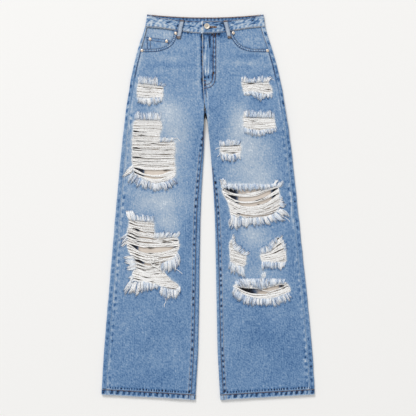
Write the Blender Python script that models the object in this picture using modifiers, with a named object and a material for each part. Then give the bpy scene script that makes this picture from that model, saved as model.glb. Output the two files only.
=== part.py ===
# Ripped straight-leg jeans, laid flat on their back: the waist is towards +Y and the
# fronts are upwards.  Left and right are the wearer's, so left is towards +X.
# Every table is in millimetres: x runs from the middle of the garment, down runs from the
# top corners of the waistband, and up runs from the surface that the jeans lie on.

import math

import bmesh
import bpy
import numpy as np

MM = 0.001
LENGTH = 1060.0             # top corners of the waistband to the inner hem corners
CLOTH = 1.0                 # one layer of denim
BAND = 2.2                  # waistband: two layers and the turnings between them
HEM = 2.4                   # hem: three layers
LOOP = 1.2                  # belt loop, a folded strip
GAP = 0.3                   # between pieces that are sewn or lie together
CURVED_GAP = 0.7            # the same where the seam curves between the facets
STEP = CLOTH + GAP          # one layer of denim lying on another
FOLD = 2.2                  # radius of the flattened side folds, to the middle of the cloth
LIFT = STEP                 # the seat lies on the back pockets and loops

BAND_HEIGHT = 35.0
HEM_HEIGHT = 15.5
HEM_SLOPE = 15.0            # the inner hem corners lie lower than the outer ones
HEM_MIDDLE = LENGTH - HEM_SLOPE / 2
HEM_TOP = HEM_MIDDLE - HEM_HEIGHT
CROTCH = 247.0
BACK_MIDDLE = -5.0          # x of the seat seam at the waistband

LEFT = 1
RIGHT = -1
SIDE_NAMES = {LEFT: "left", RIGHT: "right"}

# Outer edges of the laid-out garment.
OUTER = (("down", "left", "right"), (
    (0, 152.6, -167.0),
    (35, 157.6, -173.0),
    (60, 165.0, -181.5),
    (92, 176.0, -192.5),
    (125, 185.0, -201.0),
    (158, 194.0, -209.0),
    (191, 201.6, -214.5),
    (224, 207.0, -220.0),
    (257, 213.0, -225.5),
    (296, 219.0, -230.0),
    (362, 228.0, -237.0),
    (428, 236.0, -244.0),
    (560, 250.0, -256.0),
    (692, 264.0, -267.0),
    (824, 278.0, -278.0),
    (956, 289.0, -288.0),
    (HEM_MIDDLE, 294.0, -294.0),
))

# Inner edges: the seat seam down to the crotch, then the inside edge of each leg.
INNER = (("down", "left", "right"), (
    (0, BACK_MIDDLE + GAP, BACK_MIDDLE - GAP),
    (CROTCH, -8.9, -9.9),
    (278, -3.6, -10.7),
    (306, -0.8, -11.0),
    (334, 2.7, -11.0),
    (362, 5.5, -11.1),
    (395, 8.4, -12.6),
    (428, 11.0, -14.6),
    (494, 15.5, -18.5),
    (560, 18.8, -21.2),
    (692, 21.8, -23.3),
    (824, 24.4, -25.2),
    (923, 26.5, -27.4),
    (HEM_MIDDLE, 34.0, -35.0),
))

# How far the back legs turn over on to the front, at the side seam and at the inseam.
TURN = (("down", "left side", "right side", "left inseam", "right inseam"), (
    (0, 11.5, 4.2, 3.0, 3.0),
    (35, 11.5, 4.5, 3.0, 3.0),
    (60, 11.0, 7.0, 3.0, 3.0),
    (110, 10.5, 9.0, 3.0, 3.0),
    (CROTCH, 9.5, 9.0, 3.0, 3.0),
    (306, 9.7, 12.0, 3.4, 3.4),
    (395, 13.0, 13.0, 4.0, 5.0),
    (510, 13.0, 13.5, 8.5, 11.5),
    (LENGTH, 13.5, 13.5, 9.0, 12.0),
))

# Edge of the fly, where the left front laps over the right one.
FLY = (("down", "edge", "lap"), (
    (0, -16.2, 8.0),
    (93, -14.3, 8.0),
    (186, -13.2, 8.0),
    (CROTCH, -9.2, -GAP),
))

# Height of the fronts above the back legs, and how far their middles sink.
PUFF = (("down", "lift", "sink"), (
    (0, LIFT, 0.0),
    (170, LIFT, 0.0),
    (300, LIFT, 1.2),
    (430, 0.0, 1.5),
    (900, 0.0, 1.4),
    (HEM_TOP, 0.0, 0.5),
    (LENGTH, 0.0, 0.5),
))

# Largest soft folds in the fronts, as long low ridges and troughs.
FOLDS = (("side", "x", "down", "length", "width", "turn", "rise"), (
    (RIGHT, -215, 500, 90, 30, 15, 0.8),
    (RIGHT, -60, 560, 150, 30, -8, 0.9),
    (RIGHT, -170, 880, 150, 32, -16, 1.4),
    (RIGHT, -95, 960, 110, 30, 12, 1.1),
    (LEFT, 60, 250, 80, 30, -20, 0.8),
    (LEFT, 235, 640, 120, 30, 6, 0.9),
    (LEFT, 90, 900, 150, 32, -12, 1.3),
    (LEFT, 200, 930, 130, 32, 14, 1.2),
))

# Curved front pocket openings, from the waistband to the side seam.
POCKET_OPENING = {
    RIGHT: ((-93, 30), (-94, 55), (-96, 64), (-101, 74), (-107, 81), (-117, 87),
            (-134, 93), (-148, 94.6), (-162, 94.6), (-200, 94.6), (-200, 30)),
    LEFT: ((62, 30), (65, 50), (70, 59), (78, 71.5), (84, 79), (91, 85),
           (109, 92.5), (122, 94.5), (136, 95), (200, 95), (200, 30)),
}
FACING_INNER = {RIGHT: -80.0, LEFT: 52.0}
FACING_BOTTOM = 140.0
FACING_UNDER = 1.0          # tucked below the turned-over back
FACING_DEPTH = {RIGHT: 2 * STEP, LEFT: STEP}

COIN_POCKET = (("corner", "x", "down"), (
    ("top outer", -169, 61.5),
    ("top inner", -106.5, 70.0),
    ("bottom outer", -168, 120.0),
    ("bottom inner", -110, 128.0),
))

YOKE_SIDE = 80.0            # down of the yoke seam at the sides
YOKE_MIDDLE = 118.0         # and at the seat seam
BAND_DIPS = {               # how far each waistband edge dips at the middle
    "front top": 19.0,
    "front bottom": 17.6,
    "back": 8.5,
}

# Holes torn in the fronts, and how far the frayed threads reach above and below them.
RIPS = (
    ("rip_right_thigh", RIGHT, 18, 18, (
        (-191, 186), (-191, 196), (-194, 214), (-194, 227), (-191, 233), (-167, 232),
        (-140, 234), (-126, 231), (-124, 214), (-125, 196), (-136, 195), (-155, 192),
        (-176, 189))),
    ("rip_right_above_knee", RIGHT, 17, 22, (
        (-202, 287), (-129, 289), (-127, 312), (-134, 329), (-136, 349), (-94, 347),
        (-90, 362), (-94, 407), (-89, 432), (-94, 449), (-115, 461), (-149, 466),
        (-170, 459), (-194, 446), (-205, 431), (-209, 382), (-205, 315))),
    ("rip_right_knee", RIGHT, 12, 26, (
        (-215, 549), (-197, 565), (-148, 569), (-150, 593), (-144, 612), (-85, 610),
        (-79, 632), (-83, 651), (-97, 673), (-124, 685), (-126, 703), (-108, 726),
        (-77, 747), (-89, 760), (-132, 746), (-163, 738), (-203, 733), (-209, 719),
        (-199, 697), (-201, 675), (-220, 648), (-224, 609), (-216, 579))),
    ("rip_left_thigh", LEFT, 14, 18, (
        (93, 184), (104, 183), (142, 184), (164, 182), (167, 191), (175, 207),
        (175, 218), (157, 223), (137, 216), (119, 213), (108, 222), (100, 216),
        (95, 197))),
    ("rip_left_above_knee", LEFT, 16, 14, (
        (96, 279), (108, 279), (142, 281), (180, 283), (183, 298), (185, 315),
        (167, 317), (142, 321), (117, 318), (101, 313), (98, 298))),
    ("rip_left_inner_thigh", LEFT, 14, 18, (
        (31, 358), (49, 361), (64, 358), (81, 357), (88, 355), (90, 371), (89, 382),
        (83, 387), (68, 387), (51, 385), (40, 384), (34, 375), (36, 363))),
    ("rip_left_knee", LEFT, 6, 26, (
        (39, 471), (49, 469), (99, 467), (158, 471), (188, 469), (192, 477), (197, 499),
        (201, 516), (194, 533), (185, 546), (158, 557), (129, 560), (99, 560), (88, 549),
        (80, 560), (65, 558), (61, 536), (57, 520), (48, 504), (40, 489))),
    ("rip_left_inner_shin", LEFT, 4, 18, (
        (67, 608), (58, 632), (61, 647), (62, 672), (62, 685), (76, 690), (101, 696),
        (105, 666), (101, 661), (83, 653), (71, 646), (68, 626))),
    ("rip_left_outer_shin", LEFT, 3, 16, (
        (195, 604), (200, 625), (212, 647), (214, 672), (212, 684), (185, 681),
        (162, 684), (151, 681), (147, 673), (144, 656), (156, 656), (171, 650),
        (178, 637), (189, 628), (191, 613))),
    ("rip_left_shin", LEFT, 3, 24, (
        (71, 746), (86, 736), (200, 738), (216, 737), (227, 758), (221, 765), (192, 776),
        (162, 782), (132, 779), (101, 771), (83, 762), (71, 751))),
)
REACH_SIDE = 4.0            # frayed threads past the ends of a hole

# Open slits between the threads, through which the back leg's inside shows.
SLITS = (("rip", "x", "down", "half length", "half height"), (
    ("rip_right_thigh", -152, 203, 22, 2.2),
    ("rip_right_above_knee", -159, 432, 42, 6.0),
    ("rip_right_knee", -144, 645, 55, 7.0),
    ("rip_right_knee", -173, 614, 24, 2.5),
    ("rip_left_inner_thigh", 64, 380, 14, 1.5),
    ("rip_left_knee", 102, 484, 50, 4.0),
    ("rip_left_knee", 128, 498, 58, 6.0),
    ("rip_left_knee", 138, 513, 46, 4.5),
    ("rip_left_shin", 125, 761, 32, 4.5),
    ("rip_left_shin", 176, 751, 22, 4.5),
))

BELT_LOOP_WIDTH = 12.0
FRONT_LOOPS = (("name", "top x", "bottom x", "bottom down"), (
    ("belt_loop_front_right", -71.5, -80.6, 65.0),
    ("belt_loop_front_left", 47.6, 58.6, 64.0),
))
BACK_LOOPS = (("name", "top x", "bottom x", "bottom down"), (
    ("belt_loop_back_right", -95.0, -96.0, 68.0),
    ("belt_loop_back_middle", BACK_MIDDLE, BACK_MIDDLE, 70.0),
    ("belt_loop_back_left", 85.0, 86.0, 68.0),
))

BACK_POCKETS = (("side", "inner x", "outer x"), (
    (LEFT, 26.0, 148.0),
    (RIGHT, -36.0, -160.0),
))
BACK_POCKET_TOP = 128.0
BACK_POCKET_SIDE = 252.0    # down where the pocket's sides turn in to its point
BACK_POCKET_POINT = 284.0
BACK_POCKET_TAPER = 8.0

BUTTON = {"x": -2.8, "down": 33.5, "cap": 8.4, "shank": 2.6, "height": 2.6}
BUTTONHOLE = {"eye": 3.2, "slit": 2.2, "end x": 22.5}
BAND_END_RIGHT = 9.0        # x where the right end of the waistband stops, under the left
OVERLAP_FLAT = {"band": 24.0, "front": 22.0}
OVERLAP_RAMP = 16.0

RIVET = {"radius": 4.5, "height": 1.4}
RIVETS = (("name", "side", "x", "down", "below"), (
    ("rivet_pocket_right_inner", RIGHT, -88.3, 52.5, "front"),
    ("rivet_pocket_right_outer", RIGHT, -181.2, 99.5, "front"),
    ("rivet_pocket_left_inner", LEFT, 69.6, 51.5, "front"),
    ("rivet_pocket_left_outer", LEFT, 163.6, 100.0, "front"),
    ("rivet_coin_outer", RIGHT, -159.2, 68.0, "coin"),
    ("rivet_coin_inner", RIGHT, -113.9, 74.0, "coin"),
))

COLOURS = (("name", "red", "green", "blue", "roughness", "metallic"), (
    ("denim", 0.16, 0.29, 0.48, 0.9, 0.0),
    ("denim seam", 0.11, 0.21, 0.38, 0.9, 0.0),
    ("frayed cotton", 0.78, 0.77, 0.75, 0.95, 0.0),
    ("pewter", 0.62, 0.59, 0.55, 0.35, 1.0),
    ("copper", 0.72, 0.52, 0.40, 0.35, 1.0),
))


# ---- reading the tables ----

def rows(table):
    columns, entries = table
    return [dict(zip(columns, entry)) for entry in entries]


def read(table, name, down):
    columns, entries = table
    places = [entry[0] for entry in entries]
    values = [entry[columns.index(name)] for entry in entries]
    return float(np.interp(down, places, values))


def blend(low, high, place):
    share = min(1.0, max(0.0, (place - low) / (high - low)))
    return share * share * (3 - 2 * share)


def mix(start, end, share):
    return start + (end - start) * share


# ---- shape of the laid-out garment ----

def outer_edge(side, down):
    return read(OUTER, SIDE_NAMES[side], down)


def inner_edge(side, down):
    return read(INNER, SIDE_NAMES[side], down)


def side_turn(side, down):
    return read(TURN, SIDE_NAMES[side] + " side", down)


def inseam_turn(side, down):
    return read(TURN, SIDE_NAMES[side] + " inseam", down)


def front_outer(side, down):
    return outer_edge(side, down) - side * (side_turn(side, down) + GAP)


def front_inner(side, down):
    if down > CROTCH:
        return inner_edge(side, down) + side * (inseam_turn(side, down) + GAP) * blend(CROTCH, 262, down)
    lap = read(FLY, "lap", down) if side == RIGHT else 0.0
    return read(FLY, "edge", down) + lap


def across(side, x, down):
    inner = front_inner(side, down)
    return min(1.0, max(0.0, (x - inner) / (front_outer(side, down) - inner)))


def back_up(down):
    return CLOTH / 2 + read(PUFF, "lift", down)


def turned_up(down):
    return back_up(down) + 2 * FOLD


def fold_rise(side, x, down):
    rise = 0.0
    for fold in rows(FOLDS):
        if fold["side"] == side:
            angle = math.radians(fold["turn"])
            right = x - fold["x"]
            below = down - fold["down"]
            over = right * math.cos(angle) - below * math.sin(angle)
            along = right * math.sin(angle) + below * math.cos(angle)
            rise += fold["rise"] * math.exp(-(over / fold["width"]) ** 2 - (along / fold["length"]) ** 2)
    return rise


def lap_rise(x, down):
    flat = OVERLAP_FLAT["front"]
    return STEP * (1 - blend(flat, flat + OVERLAP_RAMP, x)) * (1 - blend(CROTCH + 4, 275, down))


def front_up(side, x, down):
    edge = math.sin(math.pi * across(side, x, down))
    up = turned_up(down) - read(PUFF, "sink", down) * edge
    up += fold_rise(side, x, down) * min(1.0, 3 * edge)
    if side == LEFT:
        up += lap_rise(x, down)
    return up


def from_middle(x, down=0.0):
    edge = outer_edge(LEFT if x > BACK_MIDDLE else RIGHT, down)
    return min(1.0, abs((x - BACK_MIDDLE) / (edge - BACK_MIDDLE)))


def band_front_top(x):
    return BAND_DIPS["front top"] * (1 - from_middle(x) ** 2.4)


def band_front_bottom(x):
    return BAND_HEIGHT + BAND_DIPS["front bottom"] * (0.5 + 0.5 * math.cos(math.pi * from_middle(x, BAND_HEIGHT)))


def band_back_dip(x):
    return BAND_DIPS["back"] * (1 - from_middle(x) ** 2)


def yoke_seam(x):
    return mix(YOKE_MIDDLE, YOKE_SIDE, min(1.0, 1.12 * from_middle(x, YOKE_SIDE)))


def hem_skew(share, down):
    return HEM_SLOPE * (0.5 - share) * min(1.0, max(0.0, (down - 700) / (HEM_TOP - 700)))


# ---- making pieces ----

def fresh_collection(name):
    collection = bpy.data.collections.new(name)
    bpy.context.scene.collection.children.link(collection)
    return collection


for old in list(bpy.data.objects):
    bpy.data.objects.remove(old, do_unlink=True)
PARTS = fresh_collection("ripped_jeans")
CUTTERS = fresh_collection("cutters")


def make_materials():
    made = {}
    for colour in rows(COLOURS):
        material = bpy.data.materials.new(colour["name"])
        material.use_nodes = True
        shader = material.node_tree.nodes["Principled BSDF"]
        shader.inputs["Base Color"].default_value = (colour["red"], colour["green"], colour["blue"], 1)
        shader.inputs["Roughness"].default_value = colour["roughness"]
        shader.inputs["Metallic"].default_value = colour["metallic"]
        made[colour["name"]] = material
    return made


MATERIALS = make_materials()


def world(x, down, up):
    return (x * MM, (LENGTH / 2 - down) * MM, up * MM)


def add_object(name, bm, collection):
    mesh = bpy.data.meshes.new(name)
    bm.to_mesh(mesh)
    bm.free()
    made = bpy.data.objects.new(name, mesh)
    collection.objects.link(made)
    return made


def cloth(name, columns, lines, place, thickness, material):
    # A grid whose points place(u, v) lays out, given its thickness evenly to both sides.
    bm = bmesh.new()
    bmesh.ops.create_grid(bm, x_segments=columns, y_segments=lines, size=0.5)
    for vert in bm.verts:
        vert.co = world(*place(round((vert.co.x + 0.5) * columns), round((0.5 - vert.co.y) * lines)))
    made = add_object(name, bm, PARTS)
    made.data.materials.append(MATERIALS[material])
    solid = made.modifiers.new("thickness", "SOLIDIFY")
    solid.thickness = thickness * MM
    solid.offset = 0
    solid.use_even_offset = True
    return made


def prism(name, outline, low, high):
    # An upright block whose outline is a ring of (x, down) points.
    bm = bmesh.new()
    bmesh.ops.create_circle(bm, cap_ends=True, segments=len(outline), radius=1)
    bm.verts.ensure_lookup_table()
    for vert, (x, down) in zip(bm.verts, outline):
        vert.co = world(x, down, low)
    block = bmesh.ops.extrude_face_region(bm, geom=bm.faces[:])
    for item in block["geom"]:
        if isinstance(item, bmesh.types.BMVert):
            item.co.z = high * MM
    bmesh.ops.recalc_face_normals(bm, faces=bm.faces[:])
    if bm.calc_volume(signed=True) < 0:
        bmesh.ops.reverse_faces(bm, faces=bm.faces[:])
    made = add_object(name, bm, CUTTERS)
    made.hide_render = True
    made.display_type = "WIRE"
    return made


def cut(piece, cutter, operation="DIFFERENCE"):
    boolean = piece.modifiers.new(cutter.name, "BOOLEAN")
    boolean.operation = operation
    boolean.solver = "EXACT"
    boolean.object = cutter


def turned(name, profile, x, down, up, steps, material):
    # A round piece: its profile of (radius, height) runs from the top to the bottom.
    mesh = bpy.data.meshes.new(name)
    points = [(radius * MM, 0, height * MM) for radius, height in profile]
    mesh.from_pydata(points, [(i, i + 1) for i in range(len(points) - 1)], [])
    made = bpy.data.objects.new(name, mesh)
    PARTS.objects.link(made)
    made.data.materials.append(MATERIALS[material])
    made.location = world(x, down, up)
    screw = made.modifiers.new("turning", "SCREW")
    screw.steps = steps
    screw.render_steps = steps
    screw.use_merge_vertices = True
    screw.merge_threshold = 0.00001
    return made


def ellipse(x, down, half_length, half_height, points=16):
    angles = [2 * math.pi * i / points for i in range(points)]
    return [(x + half_length * math.cos(a), down + half_height * math.sin(a)) for a in angles]


def widened(outline, sideways, upward, downward):
    # The outline with each point moved out along its own normal, in order round the middle.
    neighbours = list(zip(outline[-1:] + outline[:-1], outline, outline[1:] + outline[:1]))
    turn = sum(a[0] * b[1] - b[0] * a[1] for a, b, _ in neighbours)
    grown = []
    for before, (x, down), after in neighbours:
        run = (after[0] - before[0], after[1] - before[1])
        size = math.copysign(math.hypot(*run), turn)
        out = (run[1] / size, -run[0] / size)
        grown.append((x + sideways * out[0], down + (upward if out[1] < 0 else downward) * out[1]))
    middle = [sum(values) / len(grown) for values in zip(*grown)]
    return sorted(grown, key=lambda point: math.atan2(point[1] - middle[1], point[0] - middle[0]))


# ---- panels ----

def section_rows(first, last, spacing):
    # Even rows from first to last, with the crotch kept as rows of its own.
    fixed = (first, CROTCH, CROTCH + 15, CROTCH + 33, last)
    marks = []
    for start, end in zip(fixed, fixed[1:]):
        parts = max(1, round((end - start) / spacing))
        marks += [mix(start, end, i / parts) for i in range(parts)]
    return marks + [last]


# Rows of the sections: fronts and backs share them, so that their seams run together.
YOKE_ROWS = [BAND_HEIGHT + GAP, 50.0, 65.0, YOKE_SIDE]
LEG_ROWS = section_rows(YOKE_SIDE + GAP, HEM_TOP - GAP, 46)


def sloped(down, first, start, fade):
    # A row near a slanted seam follows it, and the rows after it straighten out.
    return down + (start - first) * max(0.0, 1 - (down - first) / fade)


def leg_share(side, x, row):
    inner = inner_edge(side, row)
    return min(1.0, max(0.0, (x - inner) / (outer_edge(side, row) - inner)))


def front_panel(side, columns=10):
    downs = YOKE_ROWS[:-1] + LEG_ROWS

    def place(u, v):
        row = downs[v]
        x = mix(front_inner(side, row), front_outer(side, row), u / columns)
        down = sloped(row, downs[0], band_front_bottom(x) + CURVED_GAP, 160)
        down += hem_skew(leg_share(side, x, row), row)
        return x, down, front_up(side, x, down)

    name = "front_panel_" + SIDE_NAMES[side]
    panel = cloth(name, columns, len(downs) - 1, place, CLOTH, "denim")
    cut(panel, prism(name + "_pocket_opening", POCKET_OPENING[side], -5, 30))
    for rip, rip_side, _, _, outline in RIPS:
        if rip_side == side:
            cut(panel, prism(rip + "_hole", outline, 2.2, 30))


ARC = 4                     # facets round each side fold
FLAT = 5                    # facets across the part that lies flat


def wrapped_section(side, row, thickness):
    # Points (x, up) of a back piece across one leg, from the inseam round to the side seam.
    low = back_up(row) + (thickness - CLOTH) / 2
    radius = (turned_up(row) + (thickness - CLOTH) / 4 - low) / 2
    wraps = blend(CROTCH, 280, row)
    reach = radius + thickness / 2
    lap = inseam_turn(side, row) - reach
    inner = inner_edge(side, row) + (side * reach if wraps > 0 else 0)
    whole = lap + math.pi * radius
    points = []
    for share in [0] + [(lap + math.pi * radius * i / ARC) / whole for i in range(ARC + 1)]:
        run = whole * (1 - wraps) + share * mix(12.0, whole, wraps)
        if run < lap:
            points.append((inner + side * (lap - run), low + 2 * radius))
        elif run <= whole:
            angle = (run - lap) / radius
            points.append((inner - side * radius * math.sin(angle), low + radius + radius * math.cos(angle)))
        else:
            points.append((inner + side * (run - whole), low))
    outer = outer_edge(side, row) - side * reach
    start = points[-1][0]
    points += [(mix(start, outer, i / FLAT), low) for i in range(1, FLAT)]
    for i in range(ARC + 1):
        angle = math.pi * i / ARC
        points.append((outer + side * radius * math.sin(angle), low + radius - radius * math.cos(angle)))
    points.append((outer_edge(side, row) - side * side_turn(side, row), low + 2 * radius))
    return points


def wrapped_piece(name, side, downs, shift, thickness, material):
    # A back piece: shift moves the point at x on a row, where a seam or hem slants.
    sections = [wrapped_section(side, row, thickness) for row in downs]
    columns = len(sections[0]) - 1

    def place(u, v):
        x, up = sections[v][u]
        return x, downs[v] + shift(x, downs[v]), up

    return cloth(name, columns, len(downs) - 1, place, thickness, material)


def back_panel(side):

    def shift(x, row):
        slant = sloped(row, LEG_ROWS[0], yoke_seam(x) + GAP, 150) - row
        return slant + hem_skew(leg_share(side, x, row), row)

    wrapped_piece("back_panel_" + SIDE_NAMES[side], side, LEG_ROWS, shift, CLOTH, "denim")


def back_yoke(side):

    def shift(x, row):
        share = (row - YOKE_ROWS[0]) / (YOKE_ROWS[-1] - YOKE_ROWS[0])
        top = BAND_HEIGHT + band_back_dip(x) + CURVED_GAP
        return mix(top, yoke_seam(x), share) - row

    wrapped_piece("back_yoke_" + SIDE_NAMES[side], side, YOKE_ROWS, shift, CLOTH, "denim")


def hems(side):
    downs = (HEM_TOP, HEM_MIDDLE)

    def shift(x, row):
        return hem_skew(leg_share(side, x, row), row)

    wrapped_piece("hem_back_" + SIDE_NAMES[side], side, downs, shift, HEM, "denim seam")

    def place(u, v):
        x = mix(front_inner(side, downs[v]), front_outer(side, downs[v]), u / 10)
        down = downs[v] + shift(x, downs[v])
        return x, down, front_up(side, x, HEM_TOP) + 0.3

    cloth("hem_front_" + SIDE_NAMES[side], 10, 1, place, HEM, "denim seam")


def pocket_facing(side):
    columns, lines = 5, 3

    def place(u, v):
        row = mix(BAND_HEIGHT, FACING_BOTTOM, v / lines)
        outer = outer_edge(side, row) - side * (side_turn(side, row) - FACING_UNDER)
        x = mix(FACING_INNER[side], outer, u / columns)
        top = max(band_front_bottom(x), BAND_HEIGHT + band_back_dip(x)) + 2 * CURVED_GAP
        return x, mix(top, FACING_BOTTOM, v / lines), turned_up(row) - FACING_DEPTH[side]

    cloth("pocket_facing_" + SIDE_NAMES[side], columns, lines, place, CLOTH, "denim")


def coin_pocket():
    corners = {row["corner"]: (row["x"], row["down"]) for row in rows(COIN_POCKET)}

    def place(u, v):
        top = [mix(a, b, u / 4) for a, b in zip(corners["top outer"], corners["top inner"])]
        bottom = [mix(a, b, u / 4) for a, b in zip(corners["bottom outer"], corners["bottom inner"])]
        x, down = [mix(a, b, v / 3) for a, b in zip(top, bottom)]
        return x, down, turned_up(down) - STEP

    cloth("coin_pocket", 4, 3, place, CLOTH, "denim seam")


def back_pockets():
    for pocket in rows(BACK_POCKETS):
        side, inner, outer = pocket["side"], pocket["inner x"], pocket["outer x"]
        taper = side * BACK_POCKET_TAPER
        outline = ((inner, BACK_POCKET_TOP), (outer, BACK_POCKET_TOP),
                   (outer - taper, BACK_POCKET_SIDE), ((inner + outer) / 2, BACK_POCKET_POINT),
                   (inner + taper, BACK_POCKET_SIDE))
        curve = bpy.data.curves.new("back_pocket_" + SIDE_NAMES[side], "CURVE")
        curve.dimensions = "2D"
        curve.fill_mode = "BOTH"
        curve.extrude = CLOTH / 2 * MM
        spline = curve.splines.new("POLY")
        spline.points.add(len(outline) - 1)
        for point, (x, down) in zip(spline.points, outline):
            point.co = (*world(x, down, 0), 1)
        spline.use_cyclic_u = True
        made = bpy.data.objects.new(curve.name, curve)
        made.location.z = CLOTH / 2 * MM
        made.data.materials.append(MATERIALS["denim"])
        PARTS.objects.link(made)


# ---- waistband, loops and metal ----

BAND_BACK_UP = LIFT + BAND / 2
BAND_FRONT_UP = turned_up(0)


def band_route():
    # (x, up, face) along the strip, from the left end over the fly, round the back and
    # under it again; face is 0 on the front, 1 on the back and between them on the folds.
    radius = (BAND_FRONT_UP - BAND_BACK_UP) / 2
    left = outer_edge(LEFT, 0) - radius - BAND / 2
    right = outer_edge(RIGHT, 0) + radius + BAND / 2
    start = read(FLY, "edge", 0)
    flat = OVERLAP_FLAT["band"]
    route = []
    for x in (start, flat, flat + OVERLAP_RAMP, 70, 100, 128, left):
        raised = (BAND + GAP) * (1 - blend(flat, flat + OVERLAP_RAMP, x))
        route.append((x, BAND_FRONT_UP + raised, 0.0))
    for i in range(1, ARC):
        angle = math.pi * i / ARC
        route.append((left + radius * math.sin(angle), BAND_FRONT_UP - radius + radius * math.cos(angle), i / ARC))
    for i in range(9):
        route.append((mix(left, right, i / 8), BAND_BACK_UP, 1.0))
    for i in range(1, ARC):
        angle = math.pi * i / ARC
        route.append((right - radius * math.sin(angle), BAND_BACK_UP + radius - radius * math.cos(angle), 1 - i / ARC))
    for x in (right, -142, -115, -85, -55, -25, BAND_END_RIGHT):
        route.append((x, BAND_FRONT_UP, 0.0))
    return route


def band_down(x, share, face):
    front = mix(band_front_top(x), band_front_bottom(x), share)
    back = share * BAND_HEIGHT + band_back_dip(x)
    return mix(front, back, face)


def waistband():
    route = band_route()

    def place(u, v):
        x, up, face = route[u]
        share = v / 2
        side = LEFT if x > 0 else RIGHT
        spread = (outer_edge(side, share * BAND_HEIGHT) - outer_edge(side, 0)) * blend(100, 150, abs(x))
        return x + spread, band_down(x, share, face), up

    band = cloth("waistband", len(route) - 1, 2, place, BAND, "denim seam")
    above = BAND_FRONT_UP + BAND / 2 + GAP / 2
    eye, slit, end = BUTTONHOLE["eye"], BUTTONHOLE["slit"] / 2, BUTTONHOLE["end x"]
    x, down = BUTTON["x"], BUTTON["down"]
    begin = math.asin(slit / eye)
    turns = [mix(begin, 2 * math.pi - begin, i / 12) for i in range(13)]
    outline = [(x + eye * math.cos(a), down + eye * math.sin(a)) for a in turns]
    cut(band, prism("buttonhole", outline + [(end, down - slit), (end, down + slit)], above, above + 9))


def belt_loops():
    for loop in rows(FRONT_LOOPS):
        resting = BAND_FRONT_UP + BAND / 2 + GAP + LOOP / 2
        lower = turned_up(0) + CLOTH / 2 + GAP + LOOP / 2

        def place(u, v, loop=loop, resting=resting, lower=lower):
            top = band_front_top(loop["top x"]) - 1
            down = mix(top, loop["bottom down"], v / 7)
            x = mix(loop["top x"], loop["bottom x"], v / 7) + (u / 2 - 0.5) * BELT_LOOP_WIDTH
            seam = band_front_bottom(x)
            bulge = 0.8 * math.sin(math.pi * v / 7)
            return x, down, mix(resting, lower, blend(seam + 1, seam + 11, down)) + bulge

        cloth(loop["name"], 2, 7, place, LOOP, "denim seam")
    for loop in rows(BACK_LOOPS):

        def place(u, v, loop=loop):
            down = mix(band_back_dip(loop["top x"]) - 1, loop["bottom down"], v / 3)
            x = mix(loop["top x"], loop["bottom x"], v / 3) + (u / 2 - 0.5) * BELT_LOOP_WIDTH
            return x, down, CLOTH / 2

        cloth(loop["name"], 2, 3, place, CLOTH, "denim seam")


def waist_button():
    cap, shank, height = BUTTON["cap"], BUTTON["shank"], BUTTON["height"]
    foot = BAND_FRONT_UP + BAND / 2 + GAP
    rise = BAND + 2 * GAP       # the shank goes up through the left end of the band
    profile = ((0, rise + height * 0.78), (cap * 0.30, rise + height * 0.80),
               (cap * 0.62, rise + height * 0.84), (cap * 0.80, rise + height),
               (cap * 0.94, rise + height * 0.86), (cap, rise + height * 0.5),
               (cap * 0.94, rise + height * 0.12), (cap * 0.86, rise), (shank, rise),
               (shank, 0), (0, 0))
    turned("waist_button", profile, BUTTON["x"], BUTTON["down"], foot, 24, "pewter")


def rivets():
    radius, height = RIVET["radius"], RIVET["height"]
    profile = ((0, height), (radius * 0.32, height * 0.92), (radius * 0.42, height * 0.66),
               (radius * 0.80, height * 0.55), (radius, height * 0.22), (radius, 0), (0, 0))
    for rivet in rows(RIVETS):
        x, down = rivet["x"], rivet["down"]
        if rivet["below"] == "coin":
            surface = turned_up(down) - STEP
        else:
            surface = front_up(rivet["side"], x, down)
        turned(rivet["name"], profile, x, down, surface + CLOTH / 2 + GAP, 16, "copper")


# ---- frayed rips ----

def frayed_webs():
    for name, side, upward, downward, outline in RIPS:
        reach = widened(outline, REACH_SIDE, upward, downward)
        xs = [x for x, _ in reach]
        downs = [down for _, down in reach]
        columns = max(2, round((max(xs) - min(xs)) / 22))
        lines = max(2, round((max(downs) - min(downs)) / 22))

        def place(u, v, side=side, xs=xs, downs=downs, columns=columns, lines=lines):
            x = mix(min(xs) - 5, max(xs) + 5, u / columns)
            down = mix(min(downs) - 5, max(downs) + 5, v / lines)
            return x, down, front_up(side, x, down) + STEP + GAP

        web = cloth(name, columns, lines, place, CLOTH, "frayed cotton")
        cut(web, prism(name + "_reach", reach, -5, 30), "INTERSECT")
        for index, slit in enumerate(rows(SLITS)):
            if slit["rip"] == name:
                shape = ellipse(slit["x"], slit["down"], slit["half length"], slit["half height"])
                cut(web, prism(name + "_slit_" + str(index), shape, -5, 30))


for each_side in (LEFT, RIGHT):
    front_panel(each_side)
    back_panel(each_side)
    back_yoke(each_side)
    pocket_facing(each_side)
    hems(each_side)
coin_pocket()
back_pockets()
waistband()
belt_loops()
waist_button()
rivets()
frayed_webs()
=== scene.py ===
# Ripped straight-leg jeans lying flat on their back, fronts up and waist towards +Y.
# Sizes are in millimetres: x runs from the middle, and the wearer's left is +x; down runs
# from the top corners of the waistband; up runs from the floor.

import math

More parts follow.
